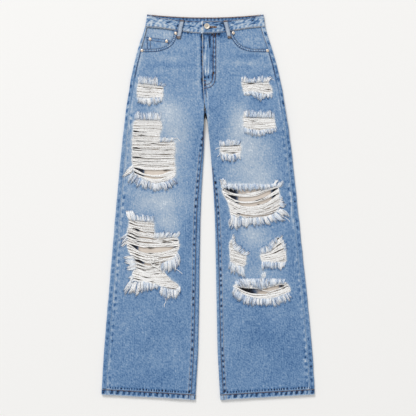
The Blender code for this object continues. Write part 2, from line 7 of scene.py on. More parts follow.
import bmesh
import bpy
import numpy as np
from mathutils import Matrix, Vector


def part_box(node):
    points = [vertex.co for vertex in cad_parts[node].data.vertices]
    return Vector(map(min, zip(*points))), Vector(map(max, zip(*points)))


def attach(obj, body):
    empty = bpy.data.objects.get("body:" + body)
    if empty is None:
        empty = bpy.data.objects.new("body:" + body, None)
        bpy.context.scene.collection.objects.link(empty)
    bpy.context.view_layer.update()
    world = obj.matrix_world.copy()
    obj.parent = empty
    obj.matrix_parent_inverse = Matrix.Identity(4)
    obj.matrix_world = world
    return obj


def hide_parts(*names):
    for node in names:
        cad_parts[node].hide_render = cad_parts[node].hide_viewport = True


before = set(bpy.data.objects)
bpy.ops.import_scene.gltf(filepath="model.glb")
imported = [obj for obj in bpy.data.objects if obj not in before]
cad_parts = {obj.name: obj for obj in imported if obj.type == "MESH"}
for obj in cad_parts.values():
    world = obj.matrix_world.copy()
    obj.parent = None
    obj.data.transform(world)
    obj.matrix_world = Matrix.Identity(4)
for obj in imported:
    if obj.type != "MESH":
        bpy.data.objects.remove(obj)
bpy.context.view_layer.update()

mm = 0.001
left, right = 1, -1
sideNames = {left: "left", right: "right"}
sideColumn = {left: 1, right: 2}        # of the rows below

jeans = {
    "length": 1060.0,
    "cloth": 1.0,           # one layer of denim
    "step": 1.3,            # one layer lying on another
    "fold": 2.2,            # radius of the flattened side folds
    "seamGap": 0.12,        # between edges that are sewn together
    "bandHeight": 35.0,
    "hemHeight": 15.5,
    "hemSlope": 15.0,       # the inner hem corners lie lower than the outer ones
    "skewFrom": 700.0,      # the rows slope from here down to the hem
    "crotch": 247.0,
    "bandDip": 19.0,        # the waistband's front is lower in the middle: top edge, bottom edge
    "bandSag": 17.6,
    "backDip": 8.5,         # and its back at the top edge
    "backMiddle": -5.0,
    "yokeSide": 80.0,
    "yokeMiddle": 118.0,
}
hemMiddle = jeans["length"] - jeans["hemSlope"] / 2
hemTop = hemMiddle - jeans["hemHeight"]

# Outer edges: down, left leg, right leg.
outerRows = (
    (0, 152.6, -167.0), (35, 157.6, -173.0), (60, 165.0, -181.5), (92, 176.0, -192.5),
    (125, 185.0, -201.0), (158, 194.0, -209.0), (191, 201.6, -214.5), (224, 207.0, -220.0),
    (257, 213.0, -225.5), (296, 219.0, -230.0), (362, 228.0, -237.0), (428, 236.0, -244.0),
    (560, 250.0, -256.0), (692, 264.0, -267.0), (824, 278.0, -278.0), (956, 289.0, -288.0),
    (hemMiddle, 294.0, -294.0),
)
# Inner edges: the seat seam down to the crotch, then the inside of each leg.
innerRows = (
    (0, -4.7, -5.3), (247, -8.9, -9.9), (278, -3.6, -10.7), (306, -0.8, -11.0),
    (334, 2.7, -11.0), (362, 5.5, -11.1), (395, 8.4, -12.6), (428, 11.0, -14.6),
    (494, 15.5, -18.5), (560, 18.8, -21.2), (692, 21.8, -23.3), (824, 24.4, -25.2),
    (923, 26.5, -27.4), (hemMiddle, 34.0, -35.0),
)
# How far the back legs turn over on to the front: left side, right side, left inseam, right inseam.
turnRows = (
    (0, 11.5, 4.2, 3.0, 3.0), (35, 11.5, 4.5, 3.0, 3.0), (60, 11.0, 7.0, 3.0, 3.0),
    (110, 10.5, 9.0, 3.0, 3.0), (247, 9.5, 9.0, 0.5, 0.5), (306, 9.7, 12.0, 0.3, 0.3),
    (354, 11.5, 12.5, 0.3, 2.9), (400, 13.0, 13.0, 0.3, 5.1), (461, 13.0, 13.3, 3.3, 7.8),
    (537, 13.1, 13.5, 5.3, 9.9), (653, 13.2, 13.5, 8.0, 11.0), (1060, 13.5, 13.5, 9.0, 12.0),
)
# Edge of the fly, and how far the right front runs on below it.
flyRows = ((0, -16.2, 8.0), (93, -15.2, 8.0), (186, -14.0, 8.0), (247, -10.2, -0.3))
# Height of the fronts above the back legs, and how far their middles sink.
puffRows = (
    (0, 1.3, 0.0), (170, 1.3, 0.0), (300, 1.3, 1.2), (430, 0.0, 1.5),
    (900, 0.0, 1.4), (hemTop, 0.0, 0.5), (1060, 0.0, 0.5),
)
# Soft folds in the fronts: side, x, down, half length, half width, turn in degrees, rise.
folds = (
    (right, -215, 500, 90, 30, 15, 0.8), (right, -60, 560, 150, 30, -8, 0.9),
    (right, -170, 880, 150, 32, -16, 1.4), (right, -95, 960, 110, 30, 12, 1.1),
    (left, 60, 250, 80, 30, -20, 0.8), (left, 235, 640, 120, 30, 6, 0.9),
    (left, 90, 900, 150, 32, -12, 1.3), (left, 200, 930, 130, 32, 14, 1.2),
)


def readRows(rows, column, down, soften=16.0):
    places = [row[0] for row in rows]
    values = [row[column] for row in rows]
    return sum(np.interp(down + step * soften, places, values) for step in (-1, -0.5, 0, 0.5, 1)) / 5


def smoothStep(low, high, place):
    share = np.clip((place - low) / (high - low), 0, 1)
    return share * share * (3 - 2 * share)


def fade(low, high, place):
    return 1 - smoothStep(low, high, place)


def between(low, high, fadeLow, fadeHigh, place):
    return smoothStep(low, high, place) * fade(fadeLow, fadeHigh, place)


def mix(start, end, share):
    return start + (end - start) * share


def bump(place, centre, width):
    return np.exp(-((place - centre) / width) ** 2)


def clipped(values):
    return np.clip(values, 0, 1)


def asRows(*columns):
    return np.stack(columns, axis=-1)


def runAlong(x, y):
    # How far along a line each of its points is.
    return np.concatenate([[0], np.cumsum(np.hypot(np.diff(x), np.diff(y)))])


def softNoise(x, y, size, seed):
    # Smooth hills and dips from -1 to 1, about size across, the same on every run.
    lattice = np.random.default_rng(seed).uniform(-1, 1, (64, 64))
    px, py = x / size + 1000, y / size + 1000
    ix, iy = np.floor(px).astype(int), np.floor(py).astype(int)
    fx, fy = px - ix, py - iy
    fx, fy = fx * fx * (3 - 2 * fx), fy * fy * (3 - 2 * fy)
    low = mix(lattice[ix % 64, iy % 64], lattice[(ix + 1) % 64, iy % 64], fx)
    high = mix(lattice[ix % 64, (iy + 1) % 64], lattice[(ix + 1) % 64, (iy + 1) % 64], fx)
    return mix(low, high, fy)


def ropeSpots(along, period, phase, seed):
    # Uneven soft spots along a seam, where the cloth puckers: 0 between them, up to 1.
    place = along + 0.32 * period * softNoise(along, 7, period * 2.1, seed) + phase * period
    strength = 0.68 + 0.42 * softNoise(along, 31, period * 1.6, seed + 1)
    wave = 0.5 + 0.5 * np.cos(2 * math.pi * place / period)
    return np.clip(strength, 0, 1.1) * smoothStep(0.15, 0.85, wave)


def outerEdge(side, down):
    wobble = 0.7 * softNoise(down, 5 if side == left else 60, 26, 11) * smoothStep(90, 140, down)
    return readRows(outerRows, sideColumn[side], down) + side * (wobble - 0.3)


def innerEdge(side, down):
    return readRows(innerRows, sideColumn[side], down, 5.0)


def sideTurn(side, down):
    return readRows(turnRows, sideColumn[side], down)


def inseamTurn(side, down):
    return readRows(turnRows, sideColumn[side] + 2, down)


def frontOuter(side, down):
    return outerEdge(side, down) - side * (sideTurn(side, down) + jeans["seamGap"])


def flyEdge(down):
    return readRows(flyRows, 1, down, 3.0)


def frontInner(side, down):
    lap = readRows(flyRows, 2, down, 3.0) if side == right else 0.0
    fly = flyEdge(down) + lap
    turn = (inseamTurn(side, down) + jeans["seamGap"]) * smoothStep(jeans["crotch"], 262, down)
    return np.where(down > jeans["crotch"], innerEdge(side, down) + side * turn, fly)


def across(side, x, down):
    inner = frontInner(side, down)
    return np.clip((x - inner) / (frontOuter(side, down) - inner), 0, 1)


def backUp(down):
    return jeans["cloth"] / 2 + readRows(puffRows, 1, down, 4.0)


def turnedUp(down):
    return backUp(down) + 2 * (jeans["fold"] + 1.3 * bump(down, 290, 58))


def lapRise(x, down):
    return jeans["step"] * fade(22, 38, x) * fade(jeans["crotch"] + 4, 275, down)


def frontUp(side, x, down):
    # Middle of the front panel's cloth, with its large soft folds.
    edge = np.sin(math.pi * across(side, x, down))
    up = turnedUp(down) - readRows(puffRows, 2, down, 10.0) * edge
    rolled = smoothStep(jeans["crotch"], 258, down) * fade(2.2, 3.8, inseamTurn(side, down))
    up += rolled * (1.15 * fade(3, 9, np.abs(x - frontInner(side, down))))
    rise = 0.35 * softNoise(x, down, 55, 21) + 0.18 * softNoise(x * 1.4, down, 22, 22)
    for foldSide, foldX, foldDown, length, width, turn, height in folds:
        if foldSide == side:
            angle = math.radians(turn)
            over = (x - foldX) * math.cos(angle) - (down - foldDown) * math.sin(angle)
            along = (x - foldX) * math.sin(angle) + (down - foldDown) * math.cos(angle)
            rise += height * np.exp(-(over / width) ** 2 - (along / length) ** 2)
    up += rise * np.minimum(1, 3 * edge)
    return up + (lapRise(x, down) if side == left else 0.0)


def fromMiddle(x, down=0.0):
    middle = jeans["backMiddle"]
    edge = np.where(x > middle, readRows(outerRows, 1, down, 0), readRows(outerRows, 2, down, 0))
    return np.minimum(1, np.abs((x - middle) / (edge - middle)))


def bandFrontTop(x):
    return jeans["bandDip"] * (1 - fromMiddle(x) ** 2.4)


def bandFrontBottom(x):
    swing = 0.5 + 0.5 * np.cos(math.pi * fromMiddle(x, jeans["bandHeight"]))
    return jeans["bandHeight"] + jeans["bandSag"] * swing


def bandBackDip(x):
    return jeans["backDip"] * (1 - fromMiddle(x) ** 2)


def yokeSeam(x):
    share = np.minimum(1, 1.12 * fromMiddle(x, jeans["yokeSide"]))
    return mix(jeans["yokeMiddle"], jeans["yokeSide"], share)


def legShare(side, x, down):
    inner = innerEdge(side, down)
    return np.clip((x - inner) / (outerEdge(side, down) - inner), 0, 1)


def legSkew(side, x, down):
    # How far the slope of the hem moves a row down, or up where it is negative.
    grow = np.clip((down - jeans["skewFrom"]) / (hemTop - jeans["skewFrom"]), 0, 1)
    return jeans["hemSlope"] * (0.5 - legShare(side, x, down)) * grow


def hemLine(side, x):
    return hemTop + legSkew(side, x, hemTop)


def softened(points, rounds=2, closed=False):
    # Corners cut twice over, so that a few points give a smooth line.
    points = [tuple(map(float, point)) for point in points]
    for _ in range(rounds):
        pairs = list(zip(points, points[1:] + points[:1])) if closed else list(zip(points, points[1:]))
        cut = []
        for start, end in pairs:
            cut.append(tuple(mix(a, b, 0.25) for a, b in zip(start, end)))
            cut.append(tuple(mix(a, b, 0.75) for a, b in zip(start, end)))
        points = cut if closed else [points[0]] + cut[1:-1] + [points[-1]]
    return points


def stepped(points, spacing, closed=False):
    # Points at an even spacing along a line, as an array of rows.
    line = np.array(points + [points[0]] if closed else points, float)
    run = runAlong(*line[:, :2].T)
    count = max(2, int(round(run[-1] / spacing)) + 1)
    places = np.linspace(0, run[-1], count)
    return asRows(*(np.interp(places, run, values) for values in line.T))


def pointsAt(line, share):
    # Points at a share of the way through a line's rows.
    places = np.linspace(0, 1, len(line))
    return asRows(*(np.interp(share, places, values) for values in line.T))


def nearestOn(line, x, down):
    # Distance from each point to a line, and how far along the line it is.
    best, along, run = np.full(np.shape(x), 1e9), np.zeros(np.shape(x)), 0.0
    for (x0, d0), (x1, d1) in zip(line[:-1], line[1:]):
        size = max(1e-9, math.hypot(x1 - x0, d1 - d0))
        share = np.clip(((x - x0) * (x1 - x0) + (down - d0) * (d1 - d0)) / size ** 2, 0, 1)
        away = np.hypot(x - x0 - share * (x1 - x0), down - d0 - share * (d1 - d0))
        closer = away < best
        best, along = np.where(closer, away, best), np.where(closer, run + share * size, along)
        run += size
    return best, along


def insideOutline(outline, x, down):
    inside = np.zeros(np.shape(x), bool)
    for (x0, d0), (x1, d1) in zip(outline, np.roll(outline, -1, axis=0)):
        if d0 != d1:
            inside ^= ((d0 > down) != (d1 > down)) & (x < (x1 - x0) * (down - d0) / (d1 - d0) + x0)
    return inside


# The holes. outline: the torn edge. flow: lines that the bare threads follow, from the top down.
# slits: gaps between the threads, as x, down and half height. fringes: frayed ends from a
# root line to a tip line, with strands per millimetre and how blue they are.
# loose: single long threads. curls: thick curled ones. gaps: dark slits. tears: number of small ones.
# bunched: how much the threads gather into cords. pale: how much paler the lower threads are.
rips = {
    "rip_right_thigh": {
        "tears": 3, "bunched": 0.40, "pale": 0.15,
        "outline": ((-191, 186), (-191, 196), (-194, 214), (-194, 227), (-191, 233), (-167, 232),
            (-140, 234), (-126, 231), (-124, 214), (-125, 196), (-136, 195), (-155, 192), (-176, 189)),
        "flow": (
            ((-196, 184), (-176, 188), (-155, 191), (-122, 195)), ((-196, 234), (-160, 233), (-122, 235))),
        "slits": (
            ((-178, 202, 0.6), (-165, 203, 1.3), (-145, 203, 1.1), (-129, 203.5, 1.2)),
            ((-186, 213, 0.5), (-174, 214, 1.1), (-163, 215, 0.5)),
            ((-160, 217, 0.4), (-154, 217.5, 0.8), (-148, 218, 0.4))),
        "fringes": (
            (((-192, 189), (-165, 191), (-138, 195)), ((-194, 168), (-168, 172), (-137, 167)), 2.2, 0.4),
            (((-137, 195), (-124, 197)), ((-130, 186), (-111, 192)), 2.4, 0.5),
            (((-194, 229), (-165, 231), (-126, 230)), ((-195, 246), (-165, 252), (-124, 243)), 2.2, 0.4)),
    },
    "rip_right_above_knee": {
        "tears": 4, "bunched": 0.50, "pale": 0.10,
        "outline": ((-202, 287), (-129, 289), (-127, 312), (-134, 329), (-136, 349), (-94, 347), (-90, 362),
            (-94, 407), (-89, 432), (-94, 449), (-115, 461), (-149, 466), (-170, 459), (-194, 446),
            (-205, 431), (-209, 382), (-205, 315)),
        "flow": (
            ((-211, 286), (-127, 288)), ((-212, 345), (-88, 346)), ((-212, 410), (-160, 415), (-88, 411)),
            ((-210, 425), (-180, 438), (-149, 445), (-115, 439), (-87, 434)),
            ((-208, 431), (-190, 451), (-170, 461), (-149, 468), (-115, 464), (-90, 451))),
        "slits": (
            ((-206, 421, 1.2), (-190, 426, 4.2), (-176, 433, 6.5), (-149, 435.5, 7.5), (-126, 433.5, 6.5),
             (-109, 430, 2)),
            ((-199, 436, 1.2), (-180, 443, 2.8), (-160, 448, 3.4), (-140, 450, 3.0), (-124, 449, 1.0)),
            ((-187, 451, 0.8), (-176, 455, 1.4), (-166, 457, 0.8)),
            ((-204, 321, 0.6), (-185, 322.5, 1.0), (-172, 324, 0.5)),
            ((-138, 349.5, 0.6), (-115, 350, 1.0), (-94, 350, 0.6)),
            ((-206, 371, 0.8), (-190, 374, 1.3), (-170, 376, 0.5)),
            ((-205, 403, 0.6), (-185, 407, 0.9), (-168, 408, 0.4))),
        "gaps": (
            ((-202, 319, 1.0), (-195, 321, 1.5), (-186, 324, 1.0), (-172, 326, 0.5)),
            ((-202, 331, 0.4), (-194, 333, 0.7), (-184, 336, 0.4)),
            ((-192, 346, 0.3), (-168, 349, 0.6), (-146, 350, 0.3)),
            ((-176, 356, 0.5), (-150, 358, 0.9), (-112, 356, 0.5)),
            ((-202, 364, 1.0), (-195, 366, 1.6), (-184, 370, 1.0), (-160, 371, 0.7), (-138, 374, 0.4)),
            ((-130, 372, 0.5), (-112, 373, 0.8), (-98, 370, 0.5)),
            ((-201, 383, 0.6), (-180, 385, 0.9), (-150, 384, 0.7), (-118, 387, 0.8), (-99, 385, 0.5)),
            ((-203, 390, 1.0), (-192, 392, 1.6), (-170, 396, 1.0), (-140, 396, 0.7), (-112, 397, 1.0),
             (-96, 396, 0.5)),
            ((-201, 402, 0.5), (-170, 405, 0.9), (-135, 405, 0.7), (-99, 403, 0.5)),
            ((-190, 411, 0.5), (-150, 415, 0.9), (-110, 414, 0.8), (-97, 411, 0.5))),
        "fringes": (
            (((-204, 288), (-165, 289), (-129, 290)), ((-204, 269), (-165, 267), (-128, 271)), 2.2, 0.4),
            (((-136, 349), (-94, 348)), ((-134, 336), (-90, 337)), 2.2, 0.4),
            (((-205, 433), (-190, 448), (-149, 466), (-115, 461), (-92, 449)), ((-222, 462), (-198, 474),
             (-150, 488), (-108, 483), (-82, 462)), 2.2, 0.4),
            (((-206, 412), (-207, 434)), ((-232, 432), (-236, 449)), 3.6, 0.0)),
        "loose": (
            ((-94, 343), (-87, 339), (-80, 344), (-75, 351)),),
    },
    "rip_right_knee": {
        "tears": 28, "bunched": 0.44,
        "outline": ((-215, 549), (-197, 565), (-148, 569), (-150, 593), (-144, 612), (-85, 610), (-79, 632),
            (-83, 651), (-97, 673), (-124, 685), (-126, 703), (-108, 726), (-77, 747), (-89, 760),
            (-132, 746), (-163, 738), (-203, 733), (-209, 719), (-199, 697), (-201, 675), (-220, 648),
            (-224, 609), (-216, 579)),
        "flow": (
            ((-226, 550), (-197, 563), (-76, 566)), ((-226, 600), (-190, 612), (-150, 620), (-78, 617)),
            ((-224, 628), (-195, 642), (-160, 649), (-124, 646), (-76, 636)),
            ((-208, 668), (-175, 682), (-140, 679), (-78, 668)),
            ((-208, 700), (-165, 712), (-120, 706), (-78, 700)),
            ((-212, 731), (-163, 742), (-130, 751), (-74, 765))),
        "slits": (
            ((-213, 632, 1.6), (-203, 637, 4.4), (-192, 644, 6.4), (-173, 649, 7.2), (-150, 648, 8),
             (-124, 646, 8), (-104, 643, 5), (-85, 638, 1)),
            ((-202, 588, 2.2), (-195, 592, 3.8), (-184, 597, 2.4), (-169, 601, 1.4)),
            ((-196, 612, 1.6), (-175, 614, 3.0), (-153, 616, 1.8)),
            ((-217, 600, 1.8), (-208, 604, 2.6), (-199, 608, 1.4)),
            ((-222, 606, 1.7), (-211, 612, 2.6), (-199, 619, 1.6)),
            ((-192, 626, 1.3), (-165, 628, 2.6), (-138, 629, 1.5)),
            ((-118, 624, 1.2), (-112, 625, 2.1), (-106, 625, 1.2)),
            ((-102, 620, 1.8), (-94, 621, 3.0), (-86, 622, 1.7)),
            ((-133, 669, 1.6), (-115, 668, 2.9), (-99, 665, 1.7)), ((-191, 673, 0.5), (-161, 676, 0.8)),
            ((-194, 674, 2.4), (-184, 680, 3.6), (-172, 686, 3.4), (-157, 691, 2.0)),
            ((-192, 687, 1.6), (-182, 692, 2.6), (-175, 695, 1.4)),
            ((-138, 682, 1.4), (-117, 680, 2.8), (-98, 676, 1.4)),
            ((-176, 735, 0.6), (-135, 746, 1.5), (-88, 760, 1.0))),
        "fringes": (
            (((-219, 560), (-202, 568)), ((-224, 538), (-207, 541)), 6.0, 0.02),
            (((-222, 551), (-205, 558)), ((-225, 539), (-207, 542)), 6.0, 0.0),
            (((-216, 551), (-197, 566), (-172, 568), (-148, 570)), ((-220, 535), (-199, 549), (-172, 552),
             (-149, 551)), 2.2, 0.4),
            (((-147, 613), (-115, 612), (-85, 611)), ((-150, 596), (-112, 597), (-75, 596)), 2.2, 0.4),
            (((-222, 600), (-222, 624)), ((-240, 616), (-238, 638)), 1.8, 0.08),
            (((-204, 664), (-198, 698)), ((-234, 668), (-218, 702)), 4.2, 0.2),
            (((-126, 684), (-97, 674), (-84, 655)), ((-129, 710), (-97, 706), (-74, 688)), 2.7, 0.45),
            (((-209, 716), (-204, 733)), ((-217, 722), (-215, 738)), 2.4, 0.3),
            (((-212, 730), (-203, 736), (-180, 736)), ((-242, 767), (-217, 779), (-178, 769)), 3.8, 0.08),
            (((-180, 735), (-163, 739), (-135, 746)), ((-178, 764), (-158, 758), (-138, 757)), 2.2, 0.4),
            (((-132, 748), (-105, 756), (-86, 759), (-77, 748)), ((-136, 768), (-106, 788), (-84, 782),
             (-73, 762)), 2.2, 0.35)),
        "loose": (
            ((-116, 779), (-115, 790), (-121, 798), (-119, 806)), ((-88, 700), (-78, 706), (-70, 714))),
        "curls": (
            ((-158, 668), (-159, 681), (-152, 692), (-141, 695), (-132, 700), (-126, 708)),
            ((-153, 676), (-142, 672), (-132, 678), (-131, 689), (-137, 695)),
            ((-162, 665), (-152, 665), (-147, 672), (-151, 682))),
    },
    "rip_left_thigh": {
        "tears": 2, "bunched": 0.26, "pale": 0.08,
        "outline": ((93, 184), (104, 183), (142, 184), (164, 182), (167, 191), (175, 207), (175, 218),
            (157, 223), (137, 216), (119, 213), (108, 222), (100, 216), (95, 197)),
        "flow": (
            ((88, 183), (178, 183)), ((90, 222), (119, 214), (137, 217), (157, 224), (180, 220))),
        "slits": (
            ((106, 187, 0.7), (118, 186.8, 1.6), (129, 186, 1.0)),
            ((112, 195, 0.2), (125, 195, 0.6), (138, 196, 0.2))),
        "fringes": (
            (((93, 186), (142, 186), (158, 185)), ((94, 170), (120, 175), (148, 168),
             (158, 174)), 2.2, 0.4),
            (((158, 185), (168, 186)), ((160, 168), (180, 173)), 2.4, 0.1),
            (((98, 216), (119, 213), (140, 216), (157, 223), (175, 218)), ((100, 224), (118, 222),
             (141, 243), (158, 228), (177, 234)), 2.2, 0.4)),
        "loose": (
            ((168, 176), (176, 178), (184, 182)),),
    },
    "rip_left_above_knee": {
        "tears": 2, "bunched": 0.34, "pale": 0.12,
        "outline": ((96, 279), (108, 279), (142, 281), (180, 283), (183, 298), (185, 315), (167, 317),
            (142, 321), (117, 318), (101, 313), (98, 298)),
        "flow": (
            ((92, 280), (186, 281)), ((94, 314), (142, 322), (188, 314))),
        "slits": (
            ((106, 302, 0.3), (130, 303, 0.7), (150, 302, 0.3)),),
        "fringes": (
            (((96, 281), (142, 283), (181, 285)), ((98, 262), (140, 263), (181, 266)), 2.2, 0.4),
            (((99, 312), (117, 318), (142, 321), (167, 317), (185, 315)), ((100, 330), (118, 334),
             (145, 337), (168, 330), (187, 322)), 2.2, 0.4)),
        "loose": (
            ((184, 308), (188, 311), (190, 318)),),
    },
    "rip_left_inner_thigh": {
        "tears": 2, "bunched": 0.34, "pale": 0.08,
        "outline": ((31, 358), (49, 361), (64, 358), (81, 357), (88, 355), (90, 371), (89, 382), (83, 387),
            (68, 387), (51, 385), (40, 384), (34, 375), (36, 363)),
        "flow": (
            ((28, 359), (92, 356)), ((30, 386), (60, 388), (92, 384))),
        "slits": (
            ((42, 363, 0.8), (49, 363, 0.7)), ((66, 359.5, 0.5), (73, 360, 1.1), (80, 360, 0.5)),
            ((50, 380, 0.7), (64, 380.5, 1.4), (78, 380, 0.7))),
        "fringes": (
            (((32, 361), (60, 360), (88, 357)), ((32, 346), (60, 343), (89, 345)), 2.2, 0.4),
            (((36, 383), (60, 387), (88, 383)), ((36, 402), (62, 408), (91, 398)), 2.2, 0.4)),
        "loose": (
            ((33, 366), (24, 368), (19, 372)), ((34, 380), (30, 388), (24, 392))),
    },
    "rip_left_knee": {
        "tears": 13, "bunched": 0.46,
        "outline": ((39, 471), (49, 469), (99, 467), (158, 471), (188, 469), (192, 477), (197, 499),
            (201, 516), (194, 533), (185, 546), (158, 557), (129, 560), (99, 560), (88, 549), (80, 560),
            (65, 558), (61, 536), (57, 520), (48, 504), (40, 489)),
        "flow": (
            ((35, 470), (100, 470), (200, 470)),
            ((36, 474), (60, 487), (85, 496), (114, 496), (144, 489), (170, 479), (200, 469)),
            ((44, 490), (70, 503), (100, 513), (129, 511), (158, 501), (186, 484), (202, 476)),
            ((52, 512), (82, 526), (117, 533), (150, 527), (180, 511), (204, 498)),
            ((56, 540), (89, 553), (117, 559), (150, 556), (185, 546), (204, 536)),
            ((56, 558), (80, 563), (129, 563), (160, 559), (192, 546))),
        "slits": (
            ((44, 477, 2.6), (56, 481, 7.2), (75, 487, 8.2), (100, 489, 7), (125, 486, 5), (150, 479, 1.8),
             (160, 475, 0.8)),
            ((58, 498, 2.6), (70, 503, 5.8), (88, 508, 7.0), (110, 509, 6.8), (135, 506, 7.2),
             (160, 494, 7), (175, 487, 5.5), (190, 477, 1.8)),
            ((74, 515, 1.8), (95, 523, 4.4), (117, 524, 5.2), (140, 519, 5.6), (165, 511, 5.4),
             (180, 501, 4), (191, 493, 1.6)),
            ((84, 547, 2.2), (100, 553, 3.2), (125, 556, 3.0), (160, 552, 2.8), (188, 545, 1.8)),
            ((78, 536, 0.4), (120, 543, 0.8), (170, 535, 0.4))),
        "fringes": (
            (((40, 469), (100, 466), (158, 469), (188, 467)), ((44, 479), (95, 488), (150, 483),
             (188, 475)), 2.4, 0.5),
            (((36, 472), (52, 468)), ((30, 446), (48, 449)), 2.0, 0.3),
            (((178, 468), (194, 475)), ((184, 454), (208, 458)), 2.4, 0.2),
            (((197, 500), (200, 516), (196, 530)), ((207, 504), (213, 520), (208, 534)), 2.0, 0.3),
            (((182, 549), (198, 534)), ((206, 570), (222, 556)), 3.2, 0.2),
            (((62, 548), (82, 560), (129, 560), (158, 557), (192, 545)), ((54, 586), (85, 592), (125, 583),
             (165, 580), (207, 566)), 2.4, 0.35)),
        "loose": (
            ((190, 548), (205, 556), (217, 560), (226, 571)), ((188, 552), (200, 562), (214, 566)),
            ((60, 560), (56, 572), (60, 584))),
    },
    "rip_left_inner_shin": {
        "tears": 3, "bunched": 0.22,
        "outline": ((66, 617), (58, 634), (61, 647), (62, 672), (62, 685), (76, 690), (101, 696),
            (105, 666), (101, 661), (83, 653), (71, 646), (68, 626)),
        "flow": (
            ((54, 600), (110, 622)), ((54, 688), (110, 702))),
        "slits": (
            ((72, 671, 0.3), (84, 674, 0.8), (97, 678, 0.3)),),
        "fringes": (
            (((67, 610), (68, 630), (72, 646), (85, 653), (104, 662)), ((72, 602), (76, 618), (84, 636),
             (97, 642), (116, 655)), 2.2, 0.4),
            (((61, 680), (76, 690), (101, 696)), ((52, 704), (78, 716), (106, 726)), 2.4, 0.35)),
    },
    "rip_left_outer_shin": {
        "tears": 4, "bunched": 0.26,
        "outline": ((195, 612), (200, 627), (212, 647), (214, 672), (212, 684), (185, 681), (162, 684),
            (151, 681), (147, 673), (144, 656), (156, 656), (171, 650), (178, 637), (189, 628), (191, 613)),
        "flow": (
            ((140, 656), (171, 640), (218, 600)), ((142, 683), (185, 685), (218, 684))),
        "slits": (
            ((170, 654, 0.6), (184, 642, 1.2), (197, 628, 0.6)),),
        "fringes": (
            (((145, 657), (158, 656), (172, 650), (180, 637), (190, 626)), ((142, 640), (155, 636),
             (168, 631), (176, 620), (184, 606)), 2.2, 0.4),
            (((149, 681), (185, 682), (213, 683)), ((150, 705), (182, 700), (207, 704)), 2.4, 0.35),
            (((198, 610), (212, 650)), ((203, 603), (220, 648)), 1.4, 0.3)),
    },
    "rip_left_shin": {
        "tears": 2, "bunched": 0.40,
        "outline": ((71, 746), (86, 736), (200, 738), (216, 737), (227, 758), (221, 765), (192, 776),
            (162, 782), (132, 779), (101, 771), (83, 762), (71, 751)),
        "flow": (
            ((68, 744), (100, 748), (140, 748), (200, 741), (222, 737)),
            ((70, 750), (100, 764), (130, 772), (160, 771), (195, 765), (228, 752)),
            ((74, 757), (101, 773), (132, 781), (162, 784), (192, 778), (230, 764))),
        "slits": (
            ((84, 751, 1.4), (101, 757, 5.0), (120, 760, 7.4), (140, 762, 7), (153, 765, 3.6),
             (160, 769, 0.8)),
            ((150, 755, 1), (162, 757, 4), (175, 754, 6), (188, 751, 5.5), (201, 743, 1.5)),
            ((168, 766, 0.8), (185, 761, 1.1), (202, 751, 0.8)),
            ((206, 758, 0.8), (211, 751, 1.0), (216, 744, 0.8)), ((184, 774, 0.7), (204, 767, 0.9))),
        "fringes": (
            (((74, 737), (88, 728), (150, 726), (213, 729)), ((84, 750), (108, 753), (128, 751), (150, 760),
             (170, 751), (207, 743)), 2.6, 0.45),
            (((73, 752), (101, 773), (132, 781), (162, 784), (192, 779), (223, 765)), ((62, 770), (95, 795),
             (125, 804), (160, 805), (200, 800), (233, 783)), 2.4, 0.4)),
        "loose": (
            ((149, 709), (152, 716), (150, 724)), ((154, 707), (157, 714), (156, 726)),
            ((151, 712), (155, 722)), ((157, 709), (158, 720)), ((147, 714), (149, 727))),
    },
}

for node, rip in rips.items():
    rip["side"] = left if "_left_" in node else right
    edge = stepped(softened(rip["outline"], 1, closed=True), 2.5, closed=True)[:-1]
    rip["edge"] = edge + 1.1 * asRows(*(softNoise(*edge.T, 6, seed) for seed in (41, 42)))


# tone runs from 0, unworn indigo, to 1, worn nearly white; some marks below also paint shade and shadow into
# it.

toneRows = (
    (0, 0.55), (60, 0.55), (125, 0.54), (200, 0.51), (300, 0.47), (500, 0.47), (620, 0.47),
    (780, 0.49), (840, 0.465), (900, 0.445), (950, 0.44), (1005, 0.43), (1060, 0.45),
)
